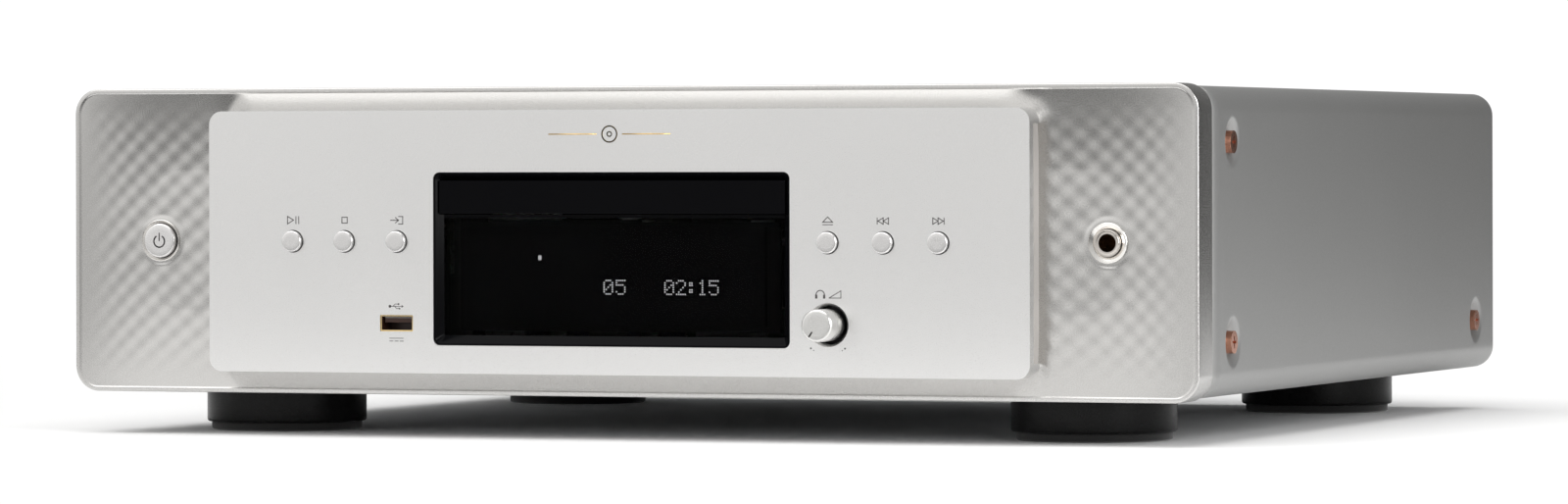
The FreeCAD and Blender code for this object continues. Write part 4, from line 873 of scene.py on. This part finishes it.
def headphone_symbol():
    shapes = outline_stroke(circle_points(0, -0.4, 1.6, 0, 180, 20), 0.3, closed=False)
    return shapes + [bar(-1.95, -1.1, -1.7, -0.3), bar(1.1, 1.95, -1.7, -0.3)]


def build_symbols():
    shapes = []
    for node, symbol in button_symbols().items():
        middle = node_middle(node)
        shapes += placed(symbol, middle.x, middle.z + SYMBOL_UP, 1.25)
    x, z = node_middle("usb_port").x, node_middle("usb_port").z
    shapes += placed(port_symbol(), x, z + 6.2, 1.1)
    shapes += placed([bar(-2.2, 2.2, 0.35, 0.55)], x, z - 6.1, 1.3)
    shapes += placed([bar(-2.2 + 1.6 * i, -1.0 + 1.6 * i, -0.45, -0.25) for i in range(3)], x, z - 6.1, 1.3)
    x, z = node_middle("level_knob").x, node_middle("level_knob").z
    for degrees, size in ((-128, 0.34), (-121, 0.2), (-52, 0.34), (-59, 0.2)):
        angle = math.radians(degrees)
        px, pz = x + 10.6 * math.cos(angle), z + 10.6 * math.sin(angle)
        shapes += [circle_points(px, pz, size, steps=10)[:-1]]
    shapes += placed(headphone_symbol(), x - 2.9, z + 11.2, 1.0)
    shapes += outline_stroke([(x + 0.5, z + 9.7), (x + 5.0, z + 9.7), (x + 5.0, z + 12.3)], 0.28)
    print_marks("plate_symbols", shapes, PLATE_Y, "player", ink, "plate_finish")
    low, high = node_box("power_button")
    x, z = (low.x + high.x) / 2, (low.z + high.z) / 2
    shapes = outline_stroke(circle_points(x, z - 0.3, 2.2, 125, 415, 36), 0.5, closed=False)
    shapes += [bar(x - 0.25, x + 0.25, z - 0.2, z + 2.9)]
    print_marks("power_symbol", shapes, low.y, "power_button", ink, "button_metal")
    x, z = 0.0, PLATE_HIGH.z - 8.9
    shapes = []
    for r, width in ((2.9, 0.5), (0.85, 0.4)):
        shapes += outline_stroke(circle_points(x, z, r, 0, 360, 40)[:-1], width)
    shapes += [bar(x - 24, x - 5, z - 0.22, z + 0.22), bar(x + 5, x + 24, z - 0.22, z + 0.22)]
    print_marks("disc_mark", shapes, PLATE_Y, "player", gold_ink, "plate_finish")


GLYPHS = {
    "0": ("01110", "10001", "10011", "10101", "11001", "10001", "01110"),
    "1": ("00100", "01100", "00100", "00100", "00100", "00100", "01110"),
    "2": ("01110", "10001", "00001", "00010", "00100", "01000", "11111"),
    "5": ("11111", "10000", "11110", "00001", "00001", "10001", "01110"),
    ":": ("00000", "01100", "01100", "00000", "01100", "01100", "00000"),
}


DOT, DOT_PITCH = 0.46, 0.82
DIGITS_TOP = 58.5
DIGIT_CELLS = (("0", -4.9), ("5", 0.0), ("0", 19.0), ("2", 23.6), (":", 27.9), ("1", 32.0), ("5", 36.4))


def build_display():
    """The lit dots of the display: a track number, a time and a small pause sign."""
    face_y = node_box("display_module")[0].y
    parts = []
    for glyph, x0 in DIGIT_CELLS:
        for row, bits in enumerate(GLYPHS[glyph]):
            for column, bit in enumerate(bits):
                if bit == "1":
                    x = x0 + column * DOT_PITCH
                    z = DIGITS_TOP - row * DOT_PITCH
                    parts.append(slab(bar(x, x + DOT, z - DOT, z), face_y - 0.06, face_y + 0.02))
    for x in (-30.6, -29.9):
        parts.append(slab(bar(x, x + 0.4, 65.6, 67.3), face_y - 0.06, face_y + 0.02))
    verts, faces = merge(*parts)
    add_piece("display_digits", verts, faces, "display_panel", body="player", material=display_white, sharp=0)


def build_usb():
    """Thin gilt edge round the USB mouth, a dark inside and the contact tongue."""
    low, high = node_box("usb_port")
    verts, faces = [], []
    for pull, depth in ((0.0, 0.0), (0.10, -0.06), (0.34, -0.02), (0.40, 0.5)):
        base = len(verts)
        verts += [(x, low.y + depth, z) for x, z in
                  bar(low.x + pull, high.x - pull, low.z + pull, high.z - pull)]
        if base:
            faces += [(base - 4 + i, base + i, base + (i + 1) % 4, base - 4 + (i + 1) % 4) for i in range(4)]
    add_piece("usb_lining", verts, faces, "socket_metal", body="player", material=gold, sharp=20)
    inner = bar(low.x + 0.41, high.x - 0.41, low.z + 0.41, high.z - 0.41)
    verts = [(x, low.y + 0.3, z) for x, z in inner] + [(x, low.y + 8.0, z) for x, z in inner]
    faces = [(i, i + 4, (i + 1) % 4 + 4, (i + 1) % 4) for i in range(4)] + [(7, 6, 5, 4)]
    add_piece("usb_inside", verts, faces, "socket_metal", body="player", material=port_dark, sharp=20)
    tongue = bar(low.x + 1.0, high.x - 1.0, (low.z + high.z) / 2 + 0.2, high.z - 0.9)
    verts, faces = slab(tongue, low.y + 1.4, low.y + 7.9)
    made = add_piece("usb_tongue", verts, faces, "black_plastic", body="player", material=port_dark)
    bevel(made, 0.15, 2)


build_buttons()
build_knob()
build_rings()
build_symbols()
build_display()
build_usb()
soften("front_plate", 0.45, 3)
soften("tray_door", 0.30, 2)
soften("window_bezel", 0.25, 2)


# ---- feet and screws ------------------------------------------------------------------------------------
FOOT_R, PAD_R = 30.3, 28.6
FOOT_SCREW_R, PAD_HOLE_R = 4.6, 6.0


def build_feet():
    """Four turned feet, each with a felt pad and an open well for its screw."""
    felt_top = node_box("foot_pads")[1].z
    low, high = node_box("feet")
    r, pad_r, well_r = FOOT_R, PAD_R, FOOT_SCREW_R
    centres = [(sx * (high.x - r), y) for y in (low.y + r, high.y - r) for sx in (-1, 1)]
    bodies, pads = [], []
    for x, y in centres:
        tall = high.z - low.z
        profile = [(well_r, 7.0), (well_r, 0.3), (5.0, 0.0), (pad_r, 0.0), (r - 1.4, 0.0), (r - 0.55, 0.18),
                   (r - 0.12, 0.6), (r, 1.2), (r, tall - 0.6), (r - 0.5, tall), (well_r, tall)]
        bodies.append(join_lathe(profile, (x, y, low.z), "z"))
        profile = [(PAD_HOLE_R, felt_top), (PAD_HOLE_R, 0.4), (6.5, 0.0), (pad_r - 0.8, 0.0),
                   (pad_r - 0.1, 0.5), (pad_r, felt_top)]
        pads.append(join_lathe(profile, (x, y, 0.0), "z"))
    add_piece("feet_turned", *merge(*bodies), "foot_plastic", ["feet"])
    add_piece("feet_pads_soft", *merge(*pads), "foot_felt", ["foot_pads"])


build_feet()


# ---- rear panel -----------------------------------------------------------------------------------------
COLLAR_R, NECK_R, BARREL_R, PIN_HOLE_R = 6.6, 5.2, 4.15, 1.65
BLOCK_R = 7.0  # of the moulded block behind the panel
BLOCK_FRONT, BLOCK_BACK = -4.2, -16.2
JACK_NUT_R = 4.6
NUT_SIDES = 48
PHONO_COLOURS = (("output_left", white_plastic), ("output_right", red_plastic),
                 ("digital_coaxial", orange_plastic))


def mount_middle(name):
    """Where a mating feature sits, in millimetres, from the record."""
    found = next(m for m in frame["record"]["mounts"] if m["name"] == name)
    return Vector(found["pos_m"]) * 1000


def build_rear():
    """Turned phono sockets with coloured rings, nuts on the small jacks, and printed outlines."""
    panel_y = node_box("rear_panel")[1].y
    deep = node_box("phono_sockets")[1].y - panel_y
    marks = []
    barrels = []
    for name, colour in PHONO_COLOURS:
        middle = mount_middle(name)
        x, z = middle.x, middle.z
        ring = [(PIN_HOLE_R, -15.0), (PIN_HOLE_R, deep - 1.0), (2.9, deep - 1.0), (3.0, deep - 0.2),
                (3.3, deep), (3.8, deep), (BARREL_R, deep - 0.4), (BARREL_R, 2.0), (4.3, 1.6), (6.2, 1.6),
                (COLLAR_R, 1.3), (COLLAR_R, 0.1), (NECK_R, 0.0), (NECK_R, BLOCK_FRONT),
                (BLOCK_R, BLOCK_FRONT), (BLOCK_R, BLOCK_BACK), (PIN_HOLE_R, BLOCK_BACK)]
        barrels.append(join_lathe(ring, (x, panel_y, z), sides=72))
        ring = [(1.7, deep - 1.3), (1.7, deep - 0.5), (2.85, deep - 0.5), (2.95, deep - 1.3)]
        verts, faces = join_lathe(ring, (x, panel_y, z), sides=48)
        add_piece(name + "_insulator", verts, faces, "phono_metal", body="player", material=colour)
        ring = [(4.25, 1.55), (4.25, 2.3), (4.7, 2.5), (5.9, 2.5), (6.2, 2.2), (6.2, 1.55)]
        verts, faces = join_lathe(ring, (x, panel_y, z), sides=64)
        add_piece(name + "_colour_ring", verts, faces, "phono_metal", body="player", material=colour)
        marks += [circle_points(x + 11.5, z, 0.9, steps=16)[:-1]]
    add_piece("phono_sockets_turned", *merge(*barrels), "phono_metal", ["phono_sockets"])
    nuts = []
    for name in ("remote_in", "remote_out", "control_in"):
        middle = mount_middle(name)
        ring = [(3.05, 0.0), (3.05, 0.5), (3.3, 0.9), (JACK_NUT_R - 0.3, 0.9), (JACK_NUT_R, 0.6),
                (JACK_NUT_R, 0.0)]
        nuts.append(join_lathe(ring, (middle.x, panel_y, middle.z), sides=NUT_SIDES))
        marks += outline_stroke(bar(middle.x - 6.5, middle.x + 6.5, middle.z - 6.5, middle.z + 6.5), 0.25)
    add_piece("minijack_nuts", *merge(*nuts), "trim_ring_metal", body="player")
    low, high = node_box("optical_socket")
    marks += outline_stroke(bar(low.x - 1.6, high.x + 1.6, low.z - 1.6, high.z + 1.6), 0.25)
    left, right = mount_middle("output_left"), mount_middle("output_right")
    marks += outline_stroke(bar(left.x - 10, left.x + 15, right.z - 10, left.z + 10), 0.3)
    parts = [slab(shape, panel_y - 0.02, panel_y + 0.04) for shape in marks]
    add_piece("rear_marks", *merge(*parts), "rear_paint", body="player", material=rear_ink, sharp=0)


build_rear()

# ---- edges and finishes of the CAD nodes ----------------------------------------------------------------
SOFT_EDGES = (("side_screws", 0.25), ("rear_screws", 0.2), ("rear_panel", 0.15), ("mains_inlet", 0.3),
              ("minijacks", 0.15), ("optical_socket", 0.2), ("remote_switch", 0.2), ("tray", 0.3),
              ("light_guides", 0.15), ("loader_base", 0.25), ("clamp_arm", 0.25))
for node, width in SOFT_EDGES:
    soften(node, width, 2)

for node, made in frame["nodes"].items():
    made.data.materials.clear()
    made.data.materials.append(SLOT_FINISH[NODE_SLOT[node]])
